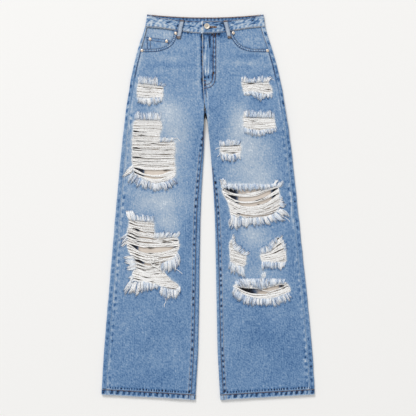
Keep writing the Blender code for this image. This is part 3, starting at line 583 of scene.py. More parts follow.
# Faded and darker patches of the legs: x, down, half width, half length, change of tone.
patches = {
    right: (
        (-120, 262, 52, 34, 0.26), (-98, 325, 40, 70, 0.27), (-215, 385, 34, 105, 0.13),
        (-105, 440, 44, 60, 0.18), (-135, 518, 70, 36, 0.33), (-108, 578, 34, 32, 0.26),
        (-200, 486, 40, 22, 0.06), (-226, 545, 16, 46, -0.10), (-264, 600, 14, 70, 0.10),
        (-216, 257, 14, 16, 0.12), (-60, 360, 22, 110, 0.06), (-28, 215, 18, 60, 0.07),
        (-225, 560, 34, 30, 0.14), (-112, 121, 45, 7, 0.11), (-95, 141, 72, 5, -0.09),
        (-105, 153, 60, 6, 0.06), (-45, 58, 34, 13, -0.14), (-140, 572, 24, 18, 0.08),
        (-62, 610, 20, 70, -0.03), (-195, 125, 20, 16, 0.08), (-22, 350, 14, 60, -0.04),
        (-30, 540, 22, 44, -0.07), (-232, 690, 30, 80, 0.06), (-60, 730, 40, 70, -0.05),
        (-150, 812, 80, 26, 0.01), (-170, 960, 40, 60, 0.05), (-140, 1000, 60, 32, -0.07),
        (-95, 945, 20, 60, 0.04), (-240, 900, 24, 90, 0.03), (-60, 1000, 22, 40, 0.03),
        (-126, 92, 24, 7, -0.07), (-229, 554, 12, 22, -0.08),
    ),
    left: (
        (88, 290, 34, 50, 0.28), (62, 345, 24, 46, 0.08), (118, 380, 56, 68, 0.34), (8, 340, 14, 70, 0.05),
        (150, 452, 54, 34, 0.26), (62, 452, 32, 32, 0.14), (130, 615, 48, 42, 0.27),
        (104, 592, 22, 20, 0.10), (150, 700, 46, 28, 0.16), (205, 735, 30, 34, 0.06),
        (178, 185, 26, 34, -0.09), (120, 118, 44, 12, -0.05), (80, 725, 34, 30, 0.12),
        (92, 134, 58, 6, 0.13), (100, 115, 55, 6, -0.10), (110, 149, 46, 5, -0.03),
        (210, 462, 24, 20, -0.08), (70, 424, 18, 16, 0.06), (153, 717, 6, 10, 0.34),
        (25, 60, 40, 14, -0.18), (208, 540, 14, 44, 0.06), (215, 400, 20, 90, -0.05),
        (235, 640, 26, 90, -0.05), (150, 885, 60, 40, -0.07), (225, 940, 46, 40, -0.05),
        (60, 930, 24, 70, 0.03), (150, 1000, 50, 34, -0.01), (-10, 200, 14, 24, 0.08),
        (104, 92, 24, 7, -0.07), (137, 242, 28, 24, -0.08), (5, 257, 12, 14, -0.09), (4, 158, 9, 12, 0.09),
        (5, 191, 9, 9, 0.07), (150, 690, 40, 10, -0.06), (52, 622, 10, 22, -0.06),
        (263, 948, 3.4, 2.6, 0.30), (267, 953, 3, 3, 0.26),
    ),
}
# The same down the fly.
flyPatches = (
    (-6, 84, 5, 16, 0.20), (-3.2, 140, 1.5, 34, -0.24), (7, 118, 2.6, 16, -0.30), (-8.5, 172, 3.0, 5, -0.62),
    (1.5, 173, 2.4, 5, -0.60), (12, 168, 2.2, 8, -0.60), (2, 188, 7, 9, 0.12),
)


def patchTone(rows, x, down):
    return sum(change * bump(x, middle, width) * bump(down, centre, length)
               for middle, centre, width, length, change in rows)


def legTone(side, x, down):
    tone = readRows(toneRows, 1, down, 25.0) + patchTone(patches[side], x, down)
    hip = fade(170, 260, down)
    tone += 0.026 * softNoise(x, down * 0.7, 46, 51) + 0.022 * softNoise(x, down * 0.6, 17, 52)
    tone += hip * (0.03 * softNoise(x * 0.8, down * 1.3, 11, 56) + 0.03 * softNoise(x, down, 5, 59))
    return tone + 0.018 * softNoise(x * 1.3 + 0.5 * down, down * 0.6, 8, 53)


pocketOpening = {
    right: ((-93, 28), (-93, 42), (-94, 55), (-96, 64), (-101, 74), (-107, 81), (-117, 87),
            (-134, 93), (-148, 94.6), (-162, 94.6), (-192, 94.8)),
    left: ((62, 28), (63, 40), (65, 50), (70, 59), (78, 71.5), (84, 79), (91, 85),
           (109, 92.5), (122, 94.5), (136, 95), (172, 95)),
}
openingLines = {side: softened(points, 2) for side, points in pocketOpening.items()}
flyOuterRow = softened(((21.2, 53), (21.2, 150), (21.0, 172), (17.5, 190), (6, 201), (-12.6, 204)), 3)
flyInnerRow = softened(((14.3, 53), (14.3, 158), (13.0, 178), (6.5, 191), (-12.9, 194.5)), 3)


def innerRope(side, down, phase=0.0):
    return ropeSpots(down, 17, phase, 60 + side)


def outerRope(side, down, phase=0.0):
    return ropeSpots(down, 20, phase, 70 + side)


def seamScale(side, down):
    # 0 where the inseam is still rolled under the leg, 1 where all of it lies on the front.
    return smoothStep(0.3, 4.5, inseamTurn(side, down)) * smoothStep(262, 285, down)


def seamWearAndShade(side, x, down):
    # Change of tone along a front panel's seams: pale ridges with dark puckers, with painted
    # shade along the stitch rows and just below the waistband's edge.
    inner = side * (x - frontInner(side, down))
    outer = side * (frontOuter(side, down) - x)
    shown = seamScale(side, down)
    change = shown * (0.05 * fade(8, 12, inner) + 0.08 * bump(inner, 10.2, 1.8))
    puckers = bump(inner, 1.0 + 3.7 * shown, 2.7) * innerRope(side, down)
    change -= 0.72 * smoothStep(0.0, 0.3, shown) * puckers
    change += shown * 0.16 * bump(inner, 4.6, 2.6) * innerRope(side, down, 0.5)
    # Painted shade along the inseam's two stitch rows.
    change -= shown * (0.20 * bump(inner, 0.4, 1.2) + 0.12 * bump(inner, 8.0, 1.0))
    hip = fade(262, 285, down)
    leg = 1 - hip
    scuffs = np.clip(softNoise(x * 2.6, down * 0.36, 9, 55), 0, 1) * leg
    zigzag = 2.5 + 3.4 * softNoise(down, 6 + side, 9, 58)
    change += (0.09 * leg + 0.04) * bump(outer, zigzag, 1.8) + 0.22 * scuffs * bump(outer, 4, 7)
    change += 0.10 * leg * softNoise(x * 2.4, down * 0.6, 4, 77) * bump(outer, 5, 12)
    uneven = clipped(0.62 + 0.9 * softNoise(down, 40 + 9 * side, 62, 72)) * (1.0 if side == right else 0.75)
    change -= 0.42 * uneven * bump(outer, 5.6, 3.0) * outerRope(side, down) * leg
    change += 0.12 * bump(outer, 5.5, 6.0) * outerRope(side, down, 0.5) * leg
    fresh = hip * smoothStep(95, 110, down)
    faded = 1 - 0.6 * smoothStep(160, 190, down)
    change += fresh * (0.10 * bump(outer, 6.0, 3.0) - 0.44 * faded * bump(outer, 0.9, 1.8))
    hem = hemLine(side, x) - down
    change += 0.14 * bump(hem, 10, 6) * ropeSpots(x + 0.4 * hem, 11, 0.5, 80 + side)
    change += 0.32 * bump(hem, 0.4, 1.7) - 0.19 * bump(hem, 5.5, 5)
    away, _ = nearestOn(openingLines[side], x, down)
    change += 0.03 * bump(away, 4.2, 3.4) + 0.06 * bump(away, 11.5, 2.4)
    # Painted shade along the pocket opening's two stitch rows.
    change -= 0.32 * bump(away, 8.0, 1.4) + 0.16 * bump(away, 0.6, 1.3)
    band = down - bandFrontBottom(x)
    # Painted shadow just below the waistband's edge, then roping.
    change -= 0.34 * bump(band, 1.0, 2.2) + 0.26 * bump(band, 5, 3.5) * ropeSpots(x, 9, 0, 95)
    return change + 0.08 * bump(band, 11, 4) * ropeSpots(x, 9, 0.5, 95)


def seamPuckers(side, x, down):
    # Fine dark dashes, which the denim draws from a place along the seam and a strength.
    hem = hemLine(side, x) - down
    away, along = nearestOn(openingLines[side], x, down)
    nearHem = hem < 30
    onHem = x / 7.5 + 0.5 * softNoise(x, 3, 19, 82)
    place = np.where(nearHem, onHem, along / 4.6 + 0.3 * softNoise(along, 3, 12, 83))
    strength = 0.62 + 0.34 * softNoise(x, down, 13, 84)
    return place, strength * np.where(nearHem, 1.1 * bump(hem, 4.6, 2.6), bump(away, 4.4, 2.7))


def ripWear(side, x, down):
    # Cloth bleached and thinned close to each hole.
    change = np.zeros(np.shape(x))
    for rip in rips.values():
        edge = rip["edge"]
        low, high = edge.min(axis=0) - 16, edge.max(axis=0) + 16
        near = (x > low[0]) & (x < high[0]) & (down > low[1]) & (down < high[1])
        if rip["side"] == side and near.any():
            away, _ = nearestOn(np.vstack([edge, edge[:1]]), x[near], down[near])
            patchy = 0.75 + 0.5 * softNoise(x[near], down[near], 5, 57)
            change[near] += 0.26 * patchy * bump(away, 0, 4.2) + 0.05 * bump(away, 0, 11)
    return change


def flyWearAndShade(x, down):
    # Streaks down the left front's fly, roping between its two rows and along the crotch seam,
    # and painted shade along the stitch rows.
    top, bottom = smoothStep(50, 60, down), fade(164, 176, down)
    within = fade(12, 15, x)
    change = 0.28 * bump(x, -8.5, 3.0) * between(100, 122, 160, 168, down)
    change += 0.28 * bump(x, 1.8, 2.4) * between(108, 128, 158, 166, down)
    change -= 0.62 * bump(x, 4.8, 2.3) * between(54, 62, 88, 98, down)
    blotches = clipped(0.35 + 1.2 * softNoise(x * 1.6, down, 7, 63))
    change -= 0.50 * bump(x, 9, 3.0) * blotches * bump(down, 152, 20)
    change += patchTone(flyPatches, x, down) - 0.10 * top * bottom * within
    change -= 0.46 * bump(down, 57, 6) * fade(24, 60, x) * (0.55 + 0.6 * softNoise(x, down, 6, 64))
    change -= 0.66 * bump(x, 17.8, 2.6) * ropeSpots(down, 15, 0.1, 97) * fade(165, 190, down)
    change += 0.14 * bump(x, 17.8, 2.6) * ropeSpots(down, 15, 0.6, 97) * fade(165, 190, down)
    change += 0.34 * softNoise(x * 3.0, down * 0.35, 8, 99) * top * bottom * within
    for row in (flyOuterRow, flyInnerRow):
        away, along = nearestOn(row, x, down)
        # Painted shade along each stitch row, a little lighter beside it near the bottom.
        change -= 0.18 * bump(away, 0, 1.3) - 0.10 * bump(away, 4, 1.8) * smoothStep(170, 180, down)
        change -= 0.40 * bump(away, 3.4, 1.8) * ropeSpots(along, 9, 0.2, 95) * smoothStep(176, 184, down)
    edge = x - flyEdge(down)
    change += (0.42 * bump(edge, 0.2, 1.7) - 0.24 * bump(edge, 3.6, 1.4)) * fade(190, 215, down)
    rows = between(178, 186, 214, 226, down)
    change -= rows * 0.66 * bump(edge, 4.4, 2.2) * (0.4 + 0.6 * ropeSpots(down, 11, 0.2, 94))
    change += 0.12 * bump(edge, 5.0, 3.4) * smoothStep(216, 226, down) * ropeSpots(down, 9, 0.2, 96)
    change += 0.26 * bump(edge, 10.5, 1.8) * smoothStep(206, 216, down)
    return change + 0.07 * bump(x, 26, 4) * fade(190, 215, down)


tipShadows = {left: [], right: []}      # places of the fringe tips, filled in by planFringes


def frontTone(side, x, down):
    tone = legTone(side, x, down) + seamWearAndShade(side, x, down) + ripWear(side, x, down)
    if side == left:
        tone += flyWearAndShade(x, down)
    else:
        fly = flyEdge(down)
        beside = between(52, 62, 214, 250, down)
        tone -= (0.62 + 0.30 * softNoise(down, 3, 11, 61)) * bump(x - fly, -2.4, 2.9) * beside
        tone -= 0.16 * clipped(softNoise(down, 9, 16, 62)) * bump(x - fly, -8.0, 2.2) * beside
        tone += 0.09 * bump(x - fly, -13, 4) * beside
        tone += 0.12 * bump(x - fly, 1.0, 2.4) * between(246, 252, 300, 330, down)
    for tipX, tipDown, size, depth in tipShadows[side]:
        tone -= depth * np.exp(-((x - tipX) ** 2 + (down - tipDown) ** 2) / size ** 2)
    return np.clip(tone, 0.02, 1)


def frontRelief(side, x, down):
    # Small height changes of a front panel: seam puckers, the double pocket edge and the fly.
    inner = side * (x - frontInner(side, down))
    outer = side * (frontOuter(side, down) - x)
    leg = smoothStep(262, 285, down)
    shown = seamScale(side, down)
    rise = shown * 0.35 * fade(8.4, 11, inner)
    rise -= shown * 0.55 * bump(inner, 4.7, 3.2) * innerRope(side, down)
    rise -= leg * 0.50 * bump(outer, 5.5, 4.2) * outerRope(side, down)
    rise += leg * 0.25 * bump(outer, 2.0, 4.0)
    away, _ = nearestOn(openingLines[side], x, down)
    rise += 0.55 * fade(8.4, 10.6, away) - 0.3 * bump(away, 4.4, 2.4)
    band = down - bandFrontBottom(x)
    rise -= 0.4 * bump(band, 2, 3.5) * ropeSpots(x, 9, 0, 95)
    hem = hemLine(side, x) - down
    rise += 0.5 * bump(hem, 0, 5) - 0.5 * bump(hem, 4, 3) * ropeSpots(x, 7.6, 0.0, 80 + side)
    if side == left:
        inFly = fade(20, 23, x) * fade(188, 206, down + 0.5 * np.maximum(0, x))
        rise += 0.25 * inFly * (1 + softNoise(x * 2.2, down * 0.45, 8, 99))
    return rise


def frontSurface(side, x, down):
    return frontUp(side, x, down) + frontRelief(side, x, down)


def toLinear(hexColour):
    channels = [int(hexColour[i:i + 2], 16) / 255 for i in (1, 3, 5)]
    return tuple(c / 12.92 if c <= 0.04045 else ((c + 0.055) / 1.055) ** 2.4 for c in channels) + (1.0,)


def addNode(material, kind, inputs=None, stops=(), **settings):
    # One node with its settings, its inputs (numbers, colours, nodes or outputs) and ramp stops.
    node = material.node_tree.nodes.new("ShaderNode" + kind)
    for name, value in settings.items():
        setattr(node, name, value)
    for place, (position, colour) in enumerate(stops):
        elements = node.color_ramp.elements
        element = elements[place] if place < 2 else elements.new(position)
        element.position = position
        element.color = toLinear(colour)
    for name, value in (inputs or {}).items():
        source = value.outputs[0] if isinstance(value, bpy.types.Node) else value
        if isinstance(source, bpy.types.NodeSocket):
            material.node_tree.links.new(source, node.inputs[name])
        else:
            node.inputs[name].default_value = value
    return node


def newMaterial(name, roughness, metallic=0.0):
    material = bpy.data.materials.new(name)
    material.use_nodes = True
    shader = material.node_tree.nodes["Principled BSDF"]
    shader.inputs["Roughness"].default_value = roughness
    shader.inputs["Metallic"].default_value = metallic
    return material, shader


def dress(material, shader, colour, relief=None):
    # Joins the colour, and any fine relief, to the shader.
    links = material.node_tree.links
    links.new(colour.outputs["Color"], shader.inputs["Base Color"])
    if relief:
        links.new(relief.outputs["Normal"], shader.inputs["Normal"])
    return material


indigoStops = (
    (0.0, "#0a121e"), (1.0, "#e6ebf0"), (0.05, "#17345a"), (0.15, "#27517f"), (0.30, "#476f9d"),
    (0.5, "#6f90b6"), (0.66, "#92a9c3"), (0.82, "#b3c1d0"),
)


def makeDenim():
    # Stone-washed cotton twill: indigo warp worn off the ridges, so fine pale flecks run along
    # the warp over a diagonal rib. The rib is 1.3 mm, true to 10 oz denim; the flecks are drawn
    # two or three threads wide so that they show.
    material, shader = newMaterial("stoneWashedDenim", 0.88)
    weave = addNode(material, "UVMap", uv_map="weave")
    tone = addNode(material, "Attribute", attribute_name="tone").outputs["Fac"]
    flecks = addNode(material, "Mapping", {"Vector": weave, "Scale": (330, 170, 1)})
    fleck = addNode(material, "TexNoise", {"Vector": flecks, "Scale": 1.0, "Detail": 2.0})
    streaks = addNode(material, "Mapping", {"Vector": weave, "Scale": (300, 42, 1)})
    streak = addNode(material, "TexNoise", {"Vector": streaks, "Scale": 1.0, "Detail": 2.0})
    mottle = addNode(material, "TexNoise", {"Vector": weave, "Scale": 70.0, "Detail": 3.0})
    turned = addNode(material, "Mapping", {"Vector": weave, "Rotation": (0, 0, math.radians(27))})
    slanted = addNode(material, "Mapping", {"Vector": turned, "Scale": (110, 400, 1)})
    slant = addNode(material, "TexNoise", {"Vector": slanted, "Scale": 1.0, "Detail": 1.0})
    rib = addNode(material, "TexWave", {"Vector": turned, "Scale": 240.0, "Distortion": 1.5, "Detail": 1.0,
                                        "Detail Scale": 2.0}, bands_direction="Y").outputs["Fac"]
    quiet = addNode(material, "MapRange", {"Value": tone, "From Min": 0.5, "From Max": 0.8,
                                           "To Min": 1.0, "To Max": 0.62})
    total = tone
    for pattern, gain in ((fleck, 0.62), (streak, 0.30), (slant, 0.42), (mottle, 0.22), (rib, 0.05)):
        centred = addNode(material, "Math", {0: pattern, 1: 0.5}, operation="SUBTRACT")
        scaled = addNode(material, "Math", {0: centred, 1: gain}, operation="MULTIPLY")
        total = addNode(material, "Math", {0: scaled, 1: quiet, 2: total}, operation="MULTIPLY_ADD")
    seam = addNode(material, "Attribute", attribute_name="seamPlace").outputs["Fac"]
    pucker = addNode(material, "Attribute", attribute_name="pucker").outputs["Fac"]
    turns = addNode(material, "Math", {0: seam, 1: 2 * math.pi}, operation="MULTIPLY")
    dashes = addNode(material, "Math", {0: turns}, operation="SINE")
    deeper = addNode(material, "Math", {0: dashes, 1: -0.48, 2: -0.10}, operation="MULTIPLY_ADD")
    total = addNode(material, "Math", {0: deeper, 1: pucker, 2: total}, operation="MULTIPLY_ADD")
    ramp = addNode(material, "ValToRGB", {"Fac": total}, stops=indigoStops)
    soilAndShade = addNode(material, "Attribute", attribute_name="stain").outputs["Fac"]
    greyed = addNode(material, "MapRange", {"Value": soilAndShade, "From Min": 1.0, "From Max": 2.0,
                                            "To Min": 1.0, "To Max": 0.6})
    muted = addNode(material, "HueSaturation", {"Color": ramp, "Saturation": greyed})
    height = addNode(material, "Math", {0: rib, 1: 0.5, 2: fleck}, operation="MULTIPLY_ADD")
    relief = addNode(material, "Bump", {"Height": height, "Strength": 0.5, "Distance": 0.0004})
    return dress(material, shader, muted, relief)


def makeDenimInside():
    # Wrong side of the denim: bare weft, greige in the middle of the legs, and darker towards
    # the seams, partly indigo staining and partly painted shade at the ends of the openings.
    material, shader = newMaterial("denimWrongSide", 0.92)
    weave = addNode(material, "UVMap", uv_map="weave")
    stain = addNode(material, "Attribute", attribute_name="stain").outputs["Fac"]
    wefts = addNode(material, "Mapping", {"Vector": weave, "Scale": (60, 420, 1)})
    weft = addNode(material, "TexNoise", {"Vector": wefts, "Scale": 1.0, "Detail": 2.0})
    centred = addNode(material, "Math", {0: weft, 1: 0.5}, operation="SUBTRACT")
    total = addNode(material, "Math", {0: centred, 1: 0.25, 2: stain}, operation="MULTIPLY_ADD")
    ramp = addNode(material, "ValToRGB", {"Fac": total}, stops=(
        (0.0, "#ddd2c7"), (1.0, "#05080e"), (0.35, "#c9bdb1"), (0.55, "#4f5f78"), (0.72, "#141e30")))
    relief = addNode(material, "Bump", {"Height": weft, "Strength": 0.4, "Distance": 0.0003})
    return dress(material, shader, ramp, relief)


def makeThread(name, stops, grain):
    # Spun cotton or polyester-cotton: matt, uneven in its twist, with dark spots drawn 3 mm long
    # so that they show, partly soil and partly painted shade between the yarns; shade picks the colour.
    material, shader = newMaterial(name, 0.85)
    place = addNode(material, "TexCoord").outputs["Object"]
    shade = addNode(material, "Attribute", attribute_name="shade").outputs["Fac"]
    twist = addNode(material, "TexNoise", {"Vector": place, "Scale": grain, "Detail": 1.0})
    centred = addNode(material, "Math", {0: twist, 1: 0.5}, operation="SUBTRACT")
    total = addNode(material, "Math", {0: centred, 1: 0.3, 2: shade}, operation="MULTIPLY_ADD")
    spread = addNode(material, "Mapping", {"Vector": place, "Scale": (260, 700, 700)})
    soilAndShade = addNode(material, "TexNoise", {"Vector": spread, "Scale": 1.0, "Detail": 1.0})
    spot = addNode(material, "MapRange", {"Value": soilAndShade, "From Min": 0.60, "From Max": 0.74,
                                          "To Min": 0.0, "To Max": -0.24})
    soiledAndShaded = addNode(material, "Math", {0: total, 1: spot}, operation="ADD")
    ramp = addNode(material, "ValToRGB", {"Fac": soiledAndShaded}, stops=stops)
    return dress(material, shader, ramp)


def makeMetal(name, stops, roughness):
    # Cast and tumbled metal: satin, with darker patina in the low places.
    material, shader = newMaterial(name, roughness, 1.0)
    place = addNode(material, "TexCoord").outputs["Object"]
    depth = addNode(material, "Attribute", attribute_name="shade").outputs["Fac"]
    patina = addNode(material, "TexNoise", {"Vector": place, "Scale": 900.0, "Detail": 3.0})
    total = addNode(material, "Math", {0: patina, 1: 0.3, 2: depth}, operation="MULTIPLY_ADD")
    ramp = addNode(material, "ValToRGB", {"Fac": total}, stops=stops)
    relief = addNode(material, "Bump", {"Height": patina, "Strength": 0.25, "Distance": 0.0002})
    return dress(material, shader, ramp, relief)


denim = makeDenim()
denimInside = makeDenimInside()
bareCotton = makeThread("bareWeftCotton", (
    (0.0, "#463d35"), (1.0, "#2f5288"), (0.05, "#81776e"), (0.12, "#aaa096"), (0.25, "#fffefc"),
    (0.44, "#fafafa"), (0.66, "#cfdcea"), (0.84, "#84a5d0")), 500.0)
tanThread = makeThread("tanTopstitchThread", ((0.0, "#d2c3b0"), (1.0, "#5f493c"), (0.5, "#94806f")), 900.0)
brownStops = ((0.0, "#93704f"), (1.0, "#372420"), (0.5, "#654433"))
brownThread = makeThread("brownTopstitchThread", brownStops, 900.0)
orangeStops = ((0.0, "#e6b671"), (1.0, "#8f4f1f"), (0.5, "#c9852f"))
orangeThread = makeThread("orangeBartackThread", orangeStops, 900.0)
pewter = makeMetal("tumbledPewter", ((0.0, "#6b6258"), (1.0, "#ece5d9"), (0.5, "#cdc4b6")), 0.66)
copper = makeMetal("wornCopper", ((0.0, "#9a6b4c"), (1.0, "#fbf0e2"), (0.5, "#e2c6a8")), 0.34)
print("materials made")


def placePoints(x, down, up):
    x, down, up = np.broadcast_arrays(x, down, up)
    return asRows(x * mm, (jeans["length"] / 2 - down) * mm, up * mm)


def camel(node):
    first, *others = node.split("_")
    return first + "".join(word.title() for word in others)


def finishPiece(piece, materials, node=None, name=None):
    # The piece is named after the node it replaces, or by its own name.
    name = name or camel(node)
    mesh = bpy.data.meshes.new(name)
    piece.to_mesh(mesh)
    piece.free()
    for material in materials:
        mesh.materials.append(material)
    mesh.shade_smooth()
    made = bpy.data.objects.new(name, mesh)
    bpy.context.scene.collection.objects.link(made)
    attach(made, "root")
    if node:
        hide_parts(node)
    return made


def makeCloth(node, columns, lines, place, thickness, lastFacesUp=True, holes=(), rounded=0.0, name=None):
    # A grid laid out by place(u, v), torn open at the holes, and given its thickness.
    piece = bmesh.new()
    bmesh.ops.create_grid(piece, x_segments=columns, y_segments=lines, size=0.5)
    flat = np.array([vert.co[:2] for vert in piece.verts])
    u = np.rint((flat[:, 0] + 0.5) * columns).astype(int)
    v = np.rint((0.5 - flat[:, 1]) * lines).astype(int)
    x, down, up, crossways, lengthways, tone, stain, *seam = np.broadcast_arrays(*place(u, v))
    points = placePoints(x, down, up)
    seamLayers = [piece.verts.layers.float.new(layer) for layer in ("seamPlace", "pucker")[:len(seam)]]
    toneLayer = piece.verts.layers.float.new("tone")
    stainAndShadeLayer = piece.verts.layers.float.new("stain")
    weave = piece.loops.layers.uv.new("weave")
    piece.verts.index_update()
    for index, vert in enumerate(piece.verts):
        vert.co = points[index]
        vert[toneLayer] = tone[index]
        vert[stainAndShadeLayer] = stain[index]
        for layer, values in zip(seamLayers, seam):
            vert[layer] = values[index]
    for face in piece.faces:
        for loop in face.loops:
            index = loop.vert.index
            loop[weave].uv = (crossways[index] * mm, lengthways[index] * mm)
    border = {vert for vert, i, j in zip(piece.verts, u, v) if i in (0, columns) or j in (0, lines)}
    piece.normal_update()
    last = [face for face in piece.faces if any(u[vert.index] == columns for vert in face.verts)]
    if (sum(face.normal.z for face in last) > 0) != lastFacesUp:
        bmesh.ops.reverse_faces(piece, faces=piece.faces[:])
    for number, hole in enumerate(holes):
        tearHole(piece, hole, border, number > 0)
    made = finishPiece(piece, (denim, denimInside), node, name)
    solid = made.modifiers.new("thickness", "SOLIDIFY")
    solid.thickness = thickness * mm
    solid.offset = 0
    solid.use_even_offset = rounded > 0
    if rounded:
        edges = made.modifiers.new("rounded edges", "BEVEL")
        edges.width = rounded * mm
        edges.segments = 2
        edges.limit_method = "ANGLE"
        edges.angle_limit = math.radians(50)
    else:
        solid.material_offset = 1
        solid.material_offset_rim = 1
    return made


def tearHole(piece, hole, border, pale):
    # Faces inside the outline go, and the rest of the edge is drawn on to it.
    centres = np.array([face.calc_center_median()[:2] for face in piece.faces])
    inside = insideOutline(hole, centres[:, 0] / mm, jeans["length"] / 2 - centres[:, 1] / mm)
    gone = [face for face, out in zip(piece.faces[:], inside) if out]
    rim = {vert for face in gone for vert in face.verts}
    bmesh.ops.delete(piece, geom=gone, context="FACES")
    rim = [vert for vert in rim if vert.is_valid and vert not in border]
    line = np.vstack([hole, hole[:1]])
    x, down = np.array([(vert.co.x, -vert.co.y) for vert in rim]).T / mm
    away, along = nearestOn(line, x, down + jeans["length"] / 2)
    spots = placePoints(*(np.interp(along, runAlong(*line.T), values) for values in line.T), 0)
    for vert, far, spot in zip(rim, away, spots):
        if far < 4:
            vert.co.xy = spot[:2]
            if pale:
                vert[piece.verts.layers.float["tone"]] = 0.88
                vert[piece.verts.layers.float["stain"]] = 0.0


# The fringes are planned first, because the fronts are darker below their tips.
fringe = {"lock": 4.8, "crowd": 1.8, "thin": 0.38, "thick": 0.62}


def planFringes():
    chance = np.random.default_rng(301)
    for rip in rips.values():
        rip["locks"] = []
        for root, tip, density, blue in rip["fringes"]:
            rootLine, tipLine = stepped(root, 1.0), stepped(tip, 1.0)
            length = np.hypot(*np.diff(rootLine, axis=0).T).sum()
            count = max(2, int(round(length / fringe["lock"])))
            centres = (np.arange(count) + 0.5 + chance.uniform(-0.3, 0.3, count)) / count
            reach = chance.uniform(0.76, 1.14, count)
            lean = chance.uniform(-3.4, 3.4, (count, 2)) * (1, 0.3)
            starts, ends = pointsAt(rootLine, centres), pointsAt(tipLine, centres)
            ends = starts + (ends - starts) * reach[:, None] + lean
            rip["locks"].append((rootLine, tipLine, density, blue, centres, starts, ends))
            for start, end in zip(starts, ends):
                run = end - start
                down = run[1] > 4
                spot = end + run / np.hypot(*run) * (1.8 if down else 0.5)
                depth = chance.uniform(0.084, 0.35) if down else chance.uniform(0.0, 0.21)
                tipShadows[rip["side"]].append((*spot, 2.4, depth))


planFringes()


frontPanel = {
    "edgeStep": 1.8,        # width of the grid's columns beside the seams
    "innerColumns": 14,
    "outerColumns": 12,
    "columns": 88,
    "hipStep": 2.2,         # height of its rows above the thigh, and below it
    "legStep": 3.1,
    "hipEnd": 245,
    "legEnd": 1015,
    "footRows": 12,
    "seamSlope": 160,       # the rows follow the waistband's seam over this height
}


def frontRowPlaces():
    hipTop = jeans["bandHeight"] + jeans["seamGap"]
    hipEnd, legEnd = frontPanel["hipEnd"], frontPanel["legEnd"]
    hip = np.linspace(hipTop, hipEnd, int(round((hipEnd - hipTop) / frontPanel["hipStep"])) + 1)
    leg = np.linspace(hipEnd, legEnd, int(round((legEnd - hipEnd) / frontPanel["legStep"])) + 1)
    foot = np.linspace(legEnd, hemTop - jeans["seamGap"], frontPanel["footRows"] + 1)
    return np.concatenate([hip, leg[1:], foot[1:]])


def makeFrontPanel(side):
    downs = frontRowPlaces()
    columns, step = frontPanel["columns"], frontPanel["edgeStep"]
    first, last = frontPanel["innerColumns"], frontPanel["outerColumns"]

    def place(u, v):
        row = downs[v]
        inner, outer = frontInner(side, row), frontOuter(side, row)
        width = np.abs(outer - inner)
        middle = (u - first) / (columns - first - last)
        offset = np.where(u <= first, u * step, mix(first * step, width - last * step, middle))
        offset = np.where(u >= columns - last, width - (columns - u) * step, offset)
        x = inner + side * offset
        slope = np.maximum(0, 1 - (row - downs[0]) / frontPanel["seamSlope"])
        slope = slope * (bandFrontBottom(x) + jeans["seamGap"] - downs[0])
        down = row + slope + legSkew(side, x, row)
        return (x, down, frontSurface(side, x, down), x, -down, frontTone(side, x, down), 0.45,
                *seamPuckers(side, x, down))

    lip = pocketOpening[side][-1]
    opening = list(openingLines[side]) + [(lip[0] + side * 20, lip[1]), (lip[0] + side * 20, 20)]
    holes = [np.array(opening)] + [rip["edge"] for rip in rips.values() if rip["side"] == side]
    return makeCloth("front_panel_" + sideNames[side], columns, len(downs) - 1, place, jeans["cloth"],
                     holes=holes)


# Back pieces wrap round on to the front. Their columns: flap, fold, flat back, fold, side turn.
wrap = {"flap": 5, "arc": 8, "flat": 30, "turn": 7, "rowStep": 3.6, "yokeSlope": 150}


def wrappedSection(side, row, thickness):
    # x, up and weave across round one leg, from the inseam round to the side seam.
    low = float(backUp(row)) + (thickness - jeans["cloth"]) / 2
    radius = (float(turnedUp(row)) + (thickness - jeans["cloth"]) / 4 - low) / 2
    wraps = float(smoothStep(jeans["crotch"], 280, row))
    reach = radius + thickness / 2
    lap = max(0.3, float(inseamTurn(side, row)) - reach)
    edge = float(innerEdge(side, row)) + side * reach * float(smoothStep(jeans["crotch"], 258, row))
    whole = lap + math.pi * radius
    shares = np.concatenate([np.linspace(0, lap, wrap["flap"] + 1),
                             lap + math.pi * radius * np.linspace(0, 1, wrap["arc"] + 1)[1:]]) / whole
    run = whole * (1 - wraps) + shares * mix(12.0, whole, wraps)
    angle = np.clip((run - lap) / radius, 0, math.pi)
    x = edge + side * (np.maximum(0, lap - run) + np.maximum(0, run - whole) - radius * np.sin(angle))
    gap = float(innerEdge(left, row) - innerEdge(right, row))
    # The seat cloth between the legs gets painted shade in wrappedTone, as the crotch gap lies in shadow.
    seat = (reach + gap / 2 - 0.35) * float(fade(274, 297, row)) * wraps
    x -= side * seat * ((1 - np.cos(angle)) / 2) ** 1.5      # seat cloth between the legs
    up = low + radius + radius * np.cos(angle)
    outer = float(outerEdge(side, row)) - side * reach
    flat = mix(x[-1], outer, np.linspace(0, 1, wrap["flat"] + 1)[1:-1])
    angles = math.pi * np.linspace(0, 1, wrap["arc"] + 1)
    end = float(outerEdge(side, row)) - side * float(sideTurn(side, row))
    turned = mix(outer, end, np.linspace(0, 1, wrap["turn"] + 1)[1:])
    x = np.concatenate([x, flat, outer + side * radius * np.sin(angles), turned])
    up = np.concatenate([up, np.full(len(flat), low), low + radius - radius * np.cos(angles),
                         np.full(len(turned), low + 2 * radius)])
    return x, up, runAlong(x, up)


